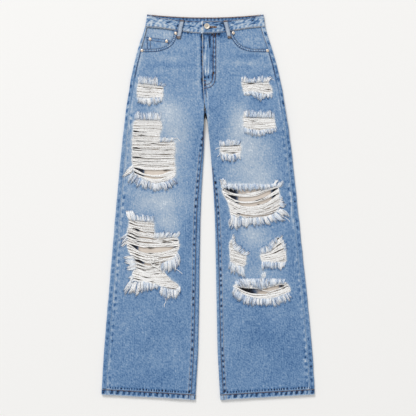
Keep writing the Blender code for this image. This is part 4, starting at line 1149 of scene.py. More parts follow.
def wrappedTone(side, x, down, u, last):
    # Tone of a back piece: its flaps on the front side, and the seat and calves underneath.
    flapIn, flapOut = u <= wrap["flap"] + 3, u >= last - wrap["turn"] - 3
    seamIn = side * (frontInner(side, down) - x)
    seamOut = side * (x - frontOuter(side, down))
    tone = legTone(side, x, down)
    outer = 0.02 - 0.34 * bump(seamOut, 7.2, 3.0) * outerRope(side, down, 0.5)
    outer += 0.08 * bump(seamOut, 12.2, 3.0) * outerRope(side, down)
    outer += 0.13 * bump(seamOut, 0.8, 1.8) - 0.08 * bump(seamOut, 3.4, 1.6)
    hip = fade(255, 290, down)
    edge = smoothStep(84, 98, down) * (1 - 0.6 * smoothStep(160, 190, down)) * bump(seamOut, 0.4, 1.6)
    outer += hip * (0.16 * bump(seamOut, 6, 5) - 0.34 * edge)
    outer -= hip * 0.56 * bump(seamOut, 6, 3.6) * ropeSpots(down, 21, 0.3, 76 + side)
    inner = 0.05 * softNoise(down, 9, 12, 66) - 0.02 + 0.12 * bump(seamIn, 6.0, 1.5)
    inner -= 0.08 * bump(seamIn, 9.5, 1.6) + 0.20 * bump(seamIn, 0.4, 1.4)
    seat = 0.06 * np.exp(-((np.abs(x) - 90) / 60) ** 2 - ((down - 240) / 90) ** 2)
    bottom = wrap["flap"] + wrap["arc"]
    # Painted shade: the part of the fold in the crotch gap goes nearly black, as the gap lies in shadow.
    shaded = np.where((u > wrap["flap"] + 2) & (u <= bottom), 1.1, 0.0) * np.where(u == bottom, 0.4, 1.0)
    paintedGapShade = shaded * between(244, 256, 280, 345, down)
    return np.clip(tone + np.where(flapOut, outer, np.where(flapIn, inner, seat)), 0.02, 1) - paintedGapShade


def makeWrapped(kind, side, downs, shift, thickness, tone, rounded=0.0):
    sections = [wrappedSection(side, row, thickness) for row in downs]
    table = np.array(sections)
    columns = table.shape[2] - 1

    def place(u, v):
        x, up, crossways = table[v, 0, u], table[v, 1, u], table[v, 2, u]
        down = downs[v] + shift(x, downs[v])
        seamOut = side * (x - frontOuter(side, down))
        turn = np.where(u >= columns - wrap["turn"] - 3, 1.0, 0.0)
        puckers = bump(seamOut, 7.0, 3.8) * outerRope(side, down, 0.5)
        up -= 0.45 * turn * puckers * smoothStep(262, 300, down)
        share = legShare(side, x, down)
        # The wrong side darkens towards the seams: partly indigo staining, partly painted shade. The two
        # spots below are painted shade under the dark ends of openings.
        stain = 0.08 + 0.85 * fade(0.22, 0.36, share) + 0.75 * smoothStep(0.66, 0.74, share)
        stain += 0.10 * softNoise(x, down, 14, 67)
        if side == left:
            stain += 0.85 * bump(x, 106, 34) * bump(down, 760, 24)
        else:
            stain += 0.75 * bump(x, -186, 13) * bump(down, 686, 18)
        return x, down, up, crossways, -down, tone(side, x, down, u, columns), stain

    node = kind + "_" + sideNames[side]
    return makeCloth(node, columns, len(downs) - 1, place, thickness, rounded=rounded)


def makeBackPanel(side):
    top = jeans["yokeSide"] + jeans["seamGap"]
    bottom = hemTop - jeans["seamGap"]
    downs = np.linspace(top, bottom, int(round((bottom - top) / wrap["rowStep"])) + 1)

    def shift(x, row):
        slant = np.maximum(0, 1 - (row - top) / wrap["yokeSlope"])
        return slant * (yokeSeam(x) + jeans["seamGap"] - top) + legSkew(side, x, row)

    made = makeWrapped("back_panel", side, downs, shift, jeans["cloth"], wrappedTone)


def makeBackYoke(side):
    first, last = jeans["bandHeight"] + jeans["seamGap"], jeans["yokeSide"]
    downs = np.linspace(first, last, 17)

    def shift(x, row):
        share = (row - first) / (last - first)
        return mix(jeans["bandHeight"] + bandBackDip(x) + 0.5, yokeSeam(x), share) - row

    def tone(side, x, down, u, last):
        hip = np.where(u >= last - wrap["turn"] - 6, 0.06, 0.0)
        return np.clip(wrappedTone(side, x, down, u, last) + hip, 0.02, 1)

    made = makeWrapped("back_yoke", side, downs, shift, jeans["cloth"], tone)


hemPiece = {"thickness": 2.4, "pitch": 15.5, "rounded": 0.5, "columns": 110, "lines": 8}


def hemRope(side, x, below):
    # Broad blocks where the hem puckers, leaning a little.
    return ropeSpots(x + 0.25 * below, hemPiece["pitch"], 0.0, 110 + side)


def hemTone(side, x, below):
    # Roping of the hem: broad dark blocks between worn ridges, pale at the fold, with painted
    # shade along the stitch line.
    fine = ropeSpots(x - 0.3 * below, hemPiece["pitch"] * 0.5, 0.2, 113 + side)
    zone = between(1.0, 3.0, 11.0, 14.5, below)
    # Painted shade along the stitch line, 1.6 mm below the hem's top.
    tone = 0.66 - 0.30 * bump(below, 1.6, 1.3) + 0.14 * smoothStep(11, 15, below)
    tone -= 0.64 * hemRope(side, x, below) * zone + 0.24 * fine * zone
    tone -= 0.10 * bump(x, -192, 42) + 0.07 * bump(x, 153, 26) - 0.06 * bump(np.abs(x - 5), 66, 20)
    ends = np.minimum(np.abs(x - frontInner(side, hemTop)), np.abs(x - frontOuter(side, hemTop)))
    return np.clip(mix(0.66, tone, smoothStep(2, 9, ends)) + 0.06 * softNoise(x, below, 4, 115), 0.07, 1)


def hemRelief(side, x, below):
    return -0.55 * hemRope(side, x, below) * between(1.5, 5.0, 12, 15.4, below)


def makeHems(side):
    columns, lines = hemPiece["columns"], hemPiece["lines"]
    downs = np.linspace(hemTop, hemMiddle, lines + 1)

    def shift(x, row):
        return legSkew(side, x, row)

    def tone(side, x, down, u, last):
        return hemTone(side, x * 1.02, down - hemLine(side, x))

    back = makeWrapped("hem_back", side, downs, shift, hemPiece["thickness"], tone, hemPiece["rounded"])

    def place(u, v):
        row = downs[v]
        x = mix(frontInner(side, row), frontOuter(side, row), u / columns)
        below = row - hemTop
        up = frontUp(side, x, hemTop) + 0.3 + hemRelief(side, x, below)
        return x, row + shift(x, row), up, x, -row, hemTone(side, x, below), 0.3

    front = makeCloth("hem_front_" + sideNames[side], columns, lines, place, hemPiece["thickness"],
                      rounded=hemPiece["rounded"])


facing = {"inner": {right: -80.0, left: 52.0}, "bottom": 140.0, "depth": {right: 2.6, left: 1.3},
          "under": 1.0, "cells": 44}
coinPocket = {"topOuter": (-169, 61.5), "topInner": (-106.5, 70.0), "bottomOuter": (-168, 120.0),
              "bottomInner": (-110, 128.0), "height": 58, "width": 60, "columns": 36, "lines": 32}
backPocket = {"inner": {left: 26.0, right: -36.0}, "outer": {left: 148.0, right: -160.0}, "top": 128.0,
              "side": 252.0, "point": 284.0, "taper": 8.0, "columns": 44, "lines": 52}


def facingUp(side, x, down):
    # The facing lies under the front panel, and rises to the side seam.
    lift = (facing["depth"][side] - 1.3) * 0.9 + 0.1
    rise = lift * smoothStep(171, 180, side * x) * fade(80, 92, down)
    return turnedUp(down) - facing["depth"][side] + rise


def makePocketFacing(side):
    cells = facing["cells"]

    def place(u, v):
        row = mix(jeans["bandHeight"], facing["bottom"], v / cells)
        outer = outerEdge(side, row) - side * (sideTurn(side, row) - facing["under"])
        x = mix(facing["inner"][side], outer, u / cells)
        top = np.maximum(bandFrontBottom(x), jeans["bandHeight"] + bandBackDip(x)) + 0.6
        down = mix(top, facing["bottom"], v / cells)
        up = facingUp(side, x, down) + 0.12 * softNoise(x, down, 14, 121)
        tone = (0.64 if side == right else 0.57) + 0.05 * softNoise(x, down, 18, 122)
        tone += 0.07 * softNoise(x, down, 5, 124)
        tone -= 0.22 * bump(down - bandFrontBottom(x), 3, 3.5) * ropeSpots(x, 8, 0, 123)
        away, _ = nearestOn(openingLines[side], x, down)
        tone -= 0.10 * bump(away, 0, 4)
        return x, down, up, x, -down, tone, 0.3

    made = makeCloth("pocket_facing_" + sideNames[side], cells, cells, place, jeans["cloth"])


def coinPoint(across, along):
    top = [mix(a, b, across) for a, b in zip(coinPocket["topOuter"], coinPocket["topInner"])]
    bottom = [mix(a, b, across) for a, b in zip(coinPocket["bottomOuter"], coinPocket["bottomInner"])]
    return mix(top[0], bottom[0], along), mix(top[1], bottom[1], along)


def coinUp(down, below):
    return turnedUp(down) - jeans["step"] + 0.35 * fade(8.5, 10.5, below)


def makeCoinPocket():
    columns, lines = coinPocket["columns"], coinPocket["lines"]

    def place(u, v):
        x, down = coinPoint(u / columns, v / lines)
        below = coinPocket["height"] * v / lines
        up = coinUp(down, below) - 0.3 * bump(below, 4.6, 2.2) * ropeSpots(x, 9, 0, 131)
        tone = 0.56 + 0.07 * softNoise(x, down, 8, 132)
        tone -= 0.45 * bump(below, 4.6, 2.0) * ropeSpots(x, 9, 0, 131)
        # Painted shade along the stitch rows across the top and down the sides, with roping between.
        tone += 0.08 * bump(below, 11.5, 1.5) - 0.25 * bump(below, 8.6, 1.2) - 0.25 * bump(below, 0.6, 1.2)
        rim = coinPocket["width"] * u / columns
        tone -= 0.35 * bump(rim, 1.0, 1.6) + 0.26 * bump(rim, 9.5, 1.3)
        tone -= 0.12 * bump(rim, 5, 2) * ropeSpots(down, 9, 0, 133) + 0.20 * bump(rim, 59, 1.4)
        return x, down, up, x, -down, tone, 0.3

    made = makeCloth("coin_pocket", columns, lines, place, jeans["cloth"])


def backPocketPoint(side, across, along):
    # Along runs from the top edge to the pointed foot.
    straight = (backPocket["side"] - backPocket["top"]) / (backPocket["point"] - backPocket["top"])
    taper = side * backPocket["taper"] * np.minimum(1, along / straight)
    x = mix(backPocket["inner"][side] + taper, backPocket["outer"][side] - taper, across)
    foot = mix(backPocket["side"], backPocket["point"], 1 - np.abs(2 * across - 1))
    return x, mix(backPocket["top"], foot, along)


def makeBackPocket(side):
    columns, lines = backPocket["columns"], backPocket["lines"]

    def place(u, v):
        x, down = backPocketPoint(side, u / columns, v / lines)
        top = down - backPocket["top"]
        edge = np.minimum(u, columns - u) * 2.6
        tone = 0.56 + 0.06 * softNoise(x, down, 24, 141) + 0.12 * bump(edge, 0, 2)
        tone -= 0.14 * bump(edge, 4.5, 2.2) * ropeSpots(down, 9, 0, 142)
        tone += 0.14 * bump(top, 0, 2) - 0.20 * bump(top, 9, 5) * ropeSpots(x, 10, 0, 143)
        return x, down, 0.5, x, -down, tone, 0.3

    made = makeCloth("back_pocket_" + sideNames[side], columns, lines, place, jeans["cloth"],
                     lastFacesUp=False)


band = {
    "thickness": 2.2, "fly": 24.0, "ramp": 16.0, "start": -16.2, "endRight": 9.0, "lines": 18,
    "spacing": 2.3, "rounded": 0.55,
}
bandBackUp = 1.3 + band["thickness"] / 2
bandFrontUp = float(turnedUp(0.0))
# Each loop: node, x of its top, x and down of its bottom.
beltLoops = {
    "width": 12.0, "thickness": 1.2, "backThickness": 1.0, "columns": 10, "lines": 36, "backLines": 30,
    "front": (("belt_loop_front_right", -71.5, -81.2, 67.5), ("belt_loop_front_left", 47.6, 59.4, 66.5)),
    "back": (("belt_loop_back_right", -95.0, -96.0, 68.0), ("belt_loop_back_middle", -5.0, -5.0, 70.0),
             ("belt_loop_back_left", 85.0, 86.0, 68.0)),
}


def bandRaise(x):
    return (band["thickness"] + 0.3) * fade(band["fly"], band["fly"] + band["ramp"], x)


def bandRoute():
    # x, up and face along the strip: face is 0 on the front, 1 on the back.
    radius = (bandFrontUp - bandBackUp) / 2
    leftFold = outerRows[0][1] - radius - band["thickness"] / 2
    rightFold = outerRows[0][2] + radius + band["thickness"] / 2
    angles = math.pi * np.linspace(0, 1, 9)[1:-1]
    spacing = band["spacing"]
    frontLeft = np.linspace(band["start"], leftFold, int((leftFold - band["start"]) / spacing))
    back = np.linspace(leftFold, rightFold, int((leftFold - rightFold) / spacing / 1.4))
    frontRight = np.linspace(rightFold, band["endRight"], int((band["endRight"] - rightFold) / spacing))
    x = np.concatenate([frontLeft, leftFold + radius * np.sin(angles), back,
                        rightFold - radius * np.sin(angles), frontRight])
    up = np.concatenate([bandFrontUp + bandRaise(frontLeft), bandFrontUp - radius + radius * np.cos(angles),
                         np.full(len(back), bandBackUp), bandBackUp + radius - radius * np.cos(angles),
                         np.full(len(frontRight), bandFrontUp)])
    face = np.concatenate([np.zeros(len(frontLeft)), angles / math.pi, np.ones(len(back)),
                           1 - angles / math.pi, np.zeros(len(frontRight))])
    return x, up, face


def bandPoint(x, share, face):
    reach = {side: readRows(outerRows, sideColumn[side], share * jeans["bandHeight"], 0)
             - outerRows[0][sideColumn[side]] for side in (left, right)}
    grow = np.where(x > 0, reach[left], reach[right])
    front = mix(bandFrontTop(x), bandFrontBottom(x), share)
    back = share * jeans["bandHeight"] + bandBackDip(x)
    return x + grow * smoothStep(100, 150, np.abs(x)), mix(front, back, face)


def bandTone(x, share, face):
    # Blotched by the wash: roping along the lower edge, diagonal streaks above, darker at the fly,
    # with painted shadows beside the belt loops and painted shade along the stitch rows.
    low = ropeSpots(x + 6 * share, 11.5, 0.0, 151)
    tone = 0.80 - 0.60 * bump(share, 0.80, 0.10) * low
    tone += 0.05 * smoothStep(60, 90, -x) - 0.16 * bump(np.abs(x - 5), 0, 45)
    upper = fade(0.62, 0.72, share)
    tone -= upper * 0.52 * clipped(1.5 * softNoise(x + 22 * share, share * 60 + 0.35 * x, 6.5, 152))
    tone -= upper * 0.48 * clipped(1.5 * softNoise(x - 26 * share, share * 70 - 0.4 * x, 6, 153))
    tone += 0.10 * softNoise(x, share * 60, 7, 155)
    onFront = face < 0.5
    # Painted shadows on the band on both sides of each front belt loop.
    for _, topX, bottomX, _ in beltLoops["front"]:
        tone -= 0.42 * bump(np.abs(x - mix(topX, bottomX, 0.75 * share)), 8.0, 2.2) * onFront
    tone -= 0.22 * bump(share, 0.14, 0.10) * ropeSpots(x, 13, 0.3, 154)
    # Painted shade along the two stitch rows.
    tone -= 0.16 * bump(share, 0.93, 0.03) + 0.14 * bump(share, 0.05, 0.03)
    tone -= 0.30 * bump(x, 37, 6) * bump(share, 0.45, 0.22) - 0.22 * bump(x, 28.5, 4) * bump(share, 0.42, 0.2)
    tone += 0.08 * bump(share, 1.0, 0.04)
    tone += 0.60 * bump(x, band["start"], 2.2) * onFront
    tone += 0.50 * bump(share, 0.0, 0.05) * between(-20, -14, 20, 40, x) * onFront
    inside = 0.36 - 0.30 * ropeSpots(x, 9.5, 0.0, 156) + 0.12 * ropeSpots(x, 9.5, 0.5, 156)
    return np.clip(mix(tone, inside + 0.2 * share, smoothStep(0.3, 0.8, face)), 0.05, 1.0)


def bandRelief(x, share):
    low = ropeSpots(x + 6 * share, 11.5, 0.0, 151)
    waves = softNoise(x + 16 * share, share * 60 + 0.25 * x, 11, 152)
    return 0.30 * waves - 0.35 * bump(share, 0.80, 0.12) * low


def makeWaistband():
    routeX, routeUp, routeFace = bandRoute()
    columns, lines = len(routeX) - 1, band["lines"]
    run = runAlong(routeX, routeUp)

    def place(u, v):
        x, face, share = routeX[u], routeFace[u], v / lines
        bandX, down = bandPoint(x, share, face)
        ends = smoothStep(0, 4, u) * smoothStep(0, 4, columns - u)
        relief = bandRelief(x, share) * (1 - face) * np.sin(math.pi * share) * ends
        across = share * jeans["bandHeight"]
        return bandX, down, routeUp[u] + relief, across, run[u], bandTone(x, share, face), 0.3

    made = makeCloth("waistband", columns, lines, place, band["thickness"], rounded=band["rounded"],
                     name="waistbandStrip")


def bandTopAt(x, down):
    # Upper face of the front of the waistband.
    share = (down - bandFrontTop(x)) / (bandFrontBottom(x) - bandFrontTop(x))
    raised = np.where(x > band["start"] - 0.5, bandRaise(x), 0.0)
    relief = bandRelief(x, share) * np.sin(math.pi * clipped(share))
    return bandFrontUp + raised + band["thickness"] / 2 + relief


def loopPoint(topX, bottomX, bottomDown, across, along):
    top = bandFrontTop(topX) - 1
    down = mix(top, bottomDown, along)
    x = mix(topX, bottomX, along) + (across - 0.5) * beltLoops["width"]
    resting = bandFrontUp + band["thickness"] / 2 + 0.3 + beltLoops["thickness"] / 2
    lower = bandFrontUp + jeans["cloth"] / 2 + 0.5 + beltLoops["thickness"] / 2
    seam = bandFrontBottom(x)
    bulge = 0.9 * np.sin(math.pi * along) ** 0.7 + 0.35 * np.sin(math.pi * across)
    return x, down, mix(resting, lower, smoothStep(seam + 1, seam + 11, down)) + bulge


def loopTone(across, along, x, down):
    # Painted shade along the loop's rolled sides; it is also darker at both ends.
    tone = 0.60 - 0.50 * bump(np.abs(across - 0.5), 0.47, 0.10)
    tone += 0.06 * softNoise(x, down, 6, 161) + 0.06 * bump(across, 0.5, 0.15)
    return tone - 0.14 * bump(along, 0.0, 0.06) - 0.12 * bump(along, 1.0, 0.05)


def makeBeltLoops():
    columns, lines, backLines = beltLoops["columns"], beltLoops["lines"], beltLoops["backLines"]
    for node, *ends in beltLoops["front"]:

        def place(u, v, ends=ends):
            x, down, up = loopPoint(*ends, u / columns, v / lines)
            return x, down, up, x, -down, loopTone(u / columns, v / lines, x, down), 2.0

        made = makeCloth(node, columns, lines, place, beltLoops["thickness"], rounded=0.4)
    for node, topX, bottomX, bottomDown in beltLoops["back"]:

        def place(u, v, topX=topX, bottomX=bottomX, bottomDown=bottomDown):
            across, along = u / columns, v / backLines
            down = mix(float(bandBackDip(topX)) - 1, bottomDown, along)
            x = mix(topX, bottomX, along) + (across - 0.5) * beltLoops["width"]
            return x, down, 0.5, x, -down, loopTone(across, along, x, down), 0.3

        made = makeCloth(node, columns, backLines, place, beltLoops["backThickness"], lastFacesUp=False,
                         rounded=0.3)


fronts = {}
for eachSide in (left, right):
    fronts[eachSide] = makeFrontPanel(eachSide)
    makeBackPanel(eachSide)
    makeBackYoke(eachSide)
    makeHems(eachSide)
    makePocketFacing(eachSide)
    makeBackPocket(eachSide)
print("panels, yokes, hems and pockets made")
makeCoinPocket()
makeWaistband()
makeBeltLoops()
print("waistband and loops made")


def strand(x, down, up, radii, shade):
    # Points, radii that end in a point, and shade of one strand.
    points = asRows(*np.broadcast_arrays(x, down, up))
    radii = np.array(np.broadcast_to(radii, len(points)), float)
    radii[0] = radii[-1] = 0
    return points, radii, shade


def makeStrands(name, strands, material, node=None):
    # Round strands, closed at both ends.
    curve = bpy.data.curves.new(name, "CURVE")
    curve.dimensions = "3D"
    curve.bevel_depth = mm
    curve.bevel_resolution = 0
    shades = []
    for points, radii, shade in strands:
        spline = curve.splines.new("POLY")
        spline.points.add(len(points) - 1)
        place = np.ones((len(points), 4), np.float32)
        place[:, :3] = placePoints(*points.T)
        spline.points.foreach_set("co", place.ravel())
        spline.points.foreach_set("radius", radii.astype(np.float32))
        shades.append(np.full(4 * len(points), shade))
    holder = bpy.data.objects.new(name + "Curve", curve)
    bpy.context.scene.collection.objects.link(holder)
    graph = bpy.context.evaluated_depsgraph_get()
    mesh = bpy.data.meshes.new_from_object(holder.evaluated_get(graph))
    bpy.data.objects.remove(holder, do_unlink=True)
    layer = mesh.attributes.new("shade", "FLOAT", "POINT")
    layer.data.foreach_set("value", np.concatenate(shades).astype(np.float32))
    piece = bmesh.new()
    piece.from_mesh(mesh)
    bmesh.ops.remove_doubles(piece, verts=piece.verts[:], dist=1e-6)
    bmesh.ops.recalc_face_normals(piece, faces=piece.faces[:])
    bpy.data.meshes.remove(mesh)
    return finishPiece(piece, (material,), node, name)


weft = {
    "cord": 7.8,            # threads bunch into cords about this far apart
    "upper": 0.80, "upperRadius": 0.42,
    "lower": 1.0, "lowerRadius": 0.50,
    "into": 2.6,            # how far the ends run into the cloth
    "sink": 0.6,
}


def openSlits(x, down, slits):
    # Threads are pushed apart on both sides of each slit.
    for slit in slits:
        line = np.array(slit, float)
        middle = line[len(line) // 2]
        centre = np.interp(x, line[:, 0], line[:, 1])
        half = np.interp(x, line[:, 0], line[:, 2], left=0, right=0)
        edge = smoothStep(line[0, 0] - 7, line[0, 0], x) * fade(line[-1, 0], line[-1, 0] + 7, x)
        ends = np.where(x < line[0, 0], line[0, 2], np.where(x > line[-1, 0], line[-1, 2], 0))
        half = np.maximum(half, ends * edge)
        sign = 1.0 if np.interp(middle[0], x, down) > middle[1] else -1.0
        beyond = np.maximum(0, sign * (down - centre))
        down = np.where(half > 0, centre + sign * np.sqrt(beyond ** 2 + half ** 2), down)
    return down


def layThread(rip, x, down, height, radius, shade, onTop, chance, strands):
    # One thread across the hole, cut to the torn edge; the upper ones run out on to the cloth.
    inside = insideOutline(rip["edge"], x, down)
    marks = np.flatnonzero(np.diff(np.concatenate([[0], inside.astype(int), [0]])))
    for start, stop in zip(marks[::2], marks[1::2]):
        if stop - start > 1:
            out = chance.uniform(1.0, 4.0, 2) if onTop else np.full(2, weft["into"])
            first, last = x[start] - out[0], x[stop - 1] + out[1]
            points = max(3, int(round((last - first) / (8.0 if onTop else 13.0))) + 1)
            px = np.linspace(first + 0.8, last - 0.8, points)
            px[1:-1] += chance.uniform(-1.5, 1.5, points - 2)
            px = np.concatenate([[first], px, [last]])
            py = np.interp(px, x, down) + chance.uniform(-0.16, 0.16, points + 2)
            over = smoothStep(0, 9, np.minimum(px - first, last - px))
            wave = chance.uniform(-0.25, 0.25, points + 2)
            up = frontUp(rip["side"], px, py) + (height + wave - weft["sink"]) * over
            up = up + (1 - over) * (0.95 if onTop else 0.0)
            radii = radius * chance.uniform(0.75, 1.2) * chance.uniform(0.8, 1.25, points + 2)
            strands.append(strand(px, py, up, radii, shade))


def smallTears(rip, chance):
    # Short gaps at random places between the threads.
    tears = []
    for _ in range(rip["tears"]):
        band = int(chance.integers(len(rip["flow"]) - 1))
        upper, lower = (np.array(line, float) for line in rip["flow"][band:band + 2])
        share, half = chance.uniform(0.1, 0.9), chance.uniform(4.5, 12.0)
        middle = chance.uniform(rip["edge"][:, 0].min() + 6, rip["edge"][:, 0].max() - 6)
        x = middle + half * np.array([-1.0, -0.3, 1.0])
        down = mix(np.interp(x, *upper.T), np.interp(x, *lower.T), share)
        tears.append(tuple(zip(x, down, chance.uniform(1.3, 2.7) * np.array([0.5, 1.0, 0.3]))))
    return tuple(tears)


def weftStrands(rip, seed):
    chance = np.random.default_rng(seed)
    edge = rip["edge"]
    x = np.arange(edge[:, 0].min() - 4, edge[:, 0].max() + 4, 1.5)
    strands = []
    tears = rip.get("gaps", ()) + smallTears(rip, chance)
    slits = rip["slits"] + tears
    # A dark strand lies beneath each gap: painted shade seen through it.
    for tear in tears:
        line = np.array(tear, float)
        tearX, tearDown, half = line[insideOutline(rip["edge"], line[:, 0], line[:, 1])].T
        if len(half) > 2:
            up = frontUp(rip["side"], tearX, tearDown) - 0.8
            strands.append(strand(tearX, tearDown, up, 0.8 * half, -0.08))
    for band, (upper, lower) in enumerate(zip(rip["flow"], rip["flow"][1:])):
        upperDown = np.interp(x, *np.array(upper, float).T) - (2.5 if band == 0 else 0)
        lowerDown = np.interp(x, *np.array(lower, float).T) + (2.5 if band == len(rip["flow"]) - 2 else 0)
        height = np.max(lowerDown - upperDown)
        for share in (np.arange(0, height, weft["lower"]) + 0.5) / height:
            down = mix(upperDown, lowerDown, share) + 0.6 * softNoise(x, share * 90 + seed, 24, 200)
            # The lower threads are darker: painted shade of the layer beneath, partly soil.
            shade = rip.get("pale", 0) + chance.choice((0.06, 0.10, 0.15, 0.20))
            down = openSlits(x, down, slits)
            layThread(rip, x, down, -0.45, weft["lowerRadius"], shade, False, chance, strands)
        cords = max(1, int(round(height / weft["cord"])))
        each = max(3, int(round(height / cords / weft["upper"])))
        for cord in range(cords):
            centre = (cord + 0.5 + chance.uniform(-0.16, 0.16)) / cords
            gather = 1.06 - rip["bunched"] * smoothStep(-0.1, 0.6, softNoise(x, cord * 11 + seed, 15, 205))
            sway = 0.16 * softNoise(x, cord * 17 + seed, 34, 206)
            for index in range(each):
                place = (index + 0.5) / each * 2 - 1 + chance.uniform(-0.16, 0.16)
                place += 0.34 * softNoise(x, index * 5 + cord * 31 + seed, 30, 207)
                share = centre + (sway + 0.5 * place * gather) / cords
                down = openSlits(x, mix(upperDown, lowerDown, share), slits)
                rise = 0.15 + 0.45 * (1 - min(1, abs(np.mean(place))) ** 2)
                # Threads on a cord's lower side are darker: painted shade.
                shade = 0.33 + chance.uniform(-0.05, 0.06) - (0.12 if np.mean(place) > 0.62 else 0)
                layThread(rip, x, down, rise, weft["upperRadius"], shade, True, chance, strands)
    return strands


def frontTop(side):
    return lambda x, down: frontSurface(side, x, down) + jeans["cloth"] / 2


def fringeStrands(rip, seed):
    chance = np.random.default_rng(seed)
    onTop = frontTop(rip["side"])
    strands = []
    along = np.linspace(0, 1, 5)
    for rootLine, tipLine, density, blue, centres, starts, ends in rip["locks"]:
        length = np.hypot(*np.diff(rootLine, axis=0).T).sum()
        lockBlue = chance.uniform(-0.12, 0.16, len(centres))
        lockCurl = chance.uniform(-0.16, 0.16, len(centres))
        for _ in range(int(length * density * fringe["crowd"])):
            share = chance.uniform(0, 1)
            lock = int(np.argmin(np.abs(centres - share) + chance.uniform(0, 0.02, len(centres))))
            start, free = pointsAt(rootLine, share), pointsAt(tipLine, share)
            run = ends[lock] - starts[lock]
            free = start + (free - start) * np.hypot(*run) / max(1, np.hypot(*(free - start)))
            aim = mix(free, ends[lock], 0.45)
            end = start + (aim - start) * chance.uniform(0.66, 1.1) + chance.normal(0, 1.0, 2)
            heading = end - start
            reach = np.hypot(*heading)
            if reach < 1.5:
                continue
            sideways = np.array([-heading[1], heading[0]]) / reach
            start -= heading / reach * chance.uniform(0.3, 4.6)
            bend = (lockCurl[lock] + chance.uniform(-0.10, 0.10)) * reach * np.sin(math.pi * along)
            curl = chance.uniform(0.2, 0.9) * along
            curl *= np.sin(2 * math.pi * (along * 1.3 + chance.uniform(0, 1)))
            path = start + np.outer(along, end - start) + np.outer(bend + curl, sideways)
            arch = np.array([0.0, 0.8, 1.0, 0.9, 0.4]) * chance.uniform(0.4, 2.3)
            up = onTop(*path.T) + arch
            up[0] -= 0.6
            radii = chance.uniform(fringe["thin"], fringe["thick"]) * np.array([1.0, 1.0, 1.0, 0.85, 1.0])
            shade = 0.30 + 0.34 * blue + 0.9 * lockBlue[lock] + abs(chance.normal(0, 0.14))
            # A few strands lie lower and dark, deep blue or dark grey: painted shade between the locks,
            # partly indigo fibres.
            odd = chance.uniform()
            if odd < 0.16:
                shade, up = (1.0 if odd < 0.125 else 0.05), up - 0.4
            strands.append(strand(*path.T, up, radii, float(np.clip(shade, 0, 1))))
    outline = stepped(list(rip["edge"]), 0.9, closed=True)[:-1]
    outward = np.roll(outline, 1, axis=0) - np.roll(outline, -1, axis=0)
    outward = asRows(outward[:, 1], -outward[:, 0]) / np.hypot(*outward.T)[:, None]
    if insideOutline(rip["edge"], *(outline + outward)[::7].T).mean() > 0.5:
        outward = -outward
    for start, heading in zip(outline, outward):
        angle = chance.uniform(-0.8, 0.8)
        heading = np.array([heading[0] * math.cos(angle) - heading[1] * math.sin(angle),
                            heading[0] * math.sin(angle) + heading[1] * math.cos(angle)])
        path = start + np.outer((-1.6, chance.uniform(0.6, 1.6), chance.uniform(1.5, 4.6)), heading)
        path[1] += chance.normal(0, 0.4, 2)
        up = onTop(*path.T) + np.array([-0.2, 0.5, 0.3])
        radius = chance.uniform(0.30, 0.48)
        strands.append(strand(*path.T, up, radius, 0.33 + 0.45 * chance.uniform() ** 2))
    lines = [(path, 0.72, 0.7) for path in rip.get("loose", ())]
    lines += [(path, 1.15, 1.7) for path in rip.get("curls", ())]
    for path, radius, rise in lines:
        x, down = stepped(softened(path), 2.2).T
        strands.append(strand(x, down, onTop(x, down) + rise, radius, 0.3))
    return strands


for number, (node, rip) in enumerate(rips.items()):
    strands = weftStrands(rip, 400 + number) + fringeStrands(rip, 500 + number)
    makeStrands(camel(node), strands, bareCotton, node)
print("frayed threads made")


stitch = {"pitch": 3.4, "length": 2.9, "radius": 0.62}


def stitchRow(path, surface, shade, seed, facing=1, radius=stitch["radius"], pitch=stitch["pitch"]):
    # Separate stitches along a path, each dipping into the cloth at both ends.
    chance = np.random.default_rng(seed)
    lineX, lineDown = np.array(path, float).T
    run = runAlong(lineX, lineDown)
    strands = []
    for start in np.arange(0, run[-1] - pitch * 0.8, pitch):
        places = start + np.linspace(0, pitch * stitch["length"] / stitch["pitch"], 4)
        x, down = np.interp(places, run, lineX), np.interp(places, run, lineDown)
        x += chance.normal(0, 0.08)
        up = surface(x, down) + facing * np.array([-0.25, 0.22, 0.22, -0.25])
        strands.append(strand(x, down, up, radius, shade + chance.uniform(-0.15, 0.15)))
    return strands


def bartack(x0, down0, x1, down1, width, surface, shade, facing=1):
    # A dense zigzag bar from one end to the other.
    length = math.hypot(x1 - x0, down1 - down0)
    turns = int(length / 0.55) + 1
    share = np.linspace(0, 1, 2 * turns)
    swing = np.where(np.arange(2 * turns) % 2 == 0, -0.5, 0.5) * width
    x = mix(x0, x1, share) - swing * (down1 - down0) / length
    down = mix(down0, down1, share) + swing * (x1 - x0) / length
    return [strand(x, down, surface(x, down) + facing * 0.45, 0.42, shade)]


def alongInseam(side, top, offset):
    down = np.arange(top, hemTop - 1, 6.0)
    x = frontInner(side, down) + side * offset
    return asRows(x, down + legSkew(side, x, down))


def hemTopFace(side):
    return lambda x, down: frontUp(side, x, hemTop) + 0.3 + hemPiece["thickness"] / 2


def offsetLine(line, amount):
    # A copy of a line, moved sideways by amount.
    line = np.array(line, float)
    heading = np.gradient(line, axis=0)
    heading = heading / np.hypot(*heading.T)[:, None]
    return line + asRows(-heading[:, 1], heading[:, 0]) * amount


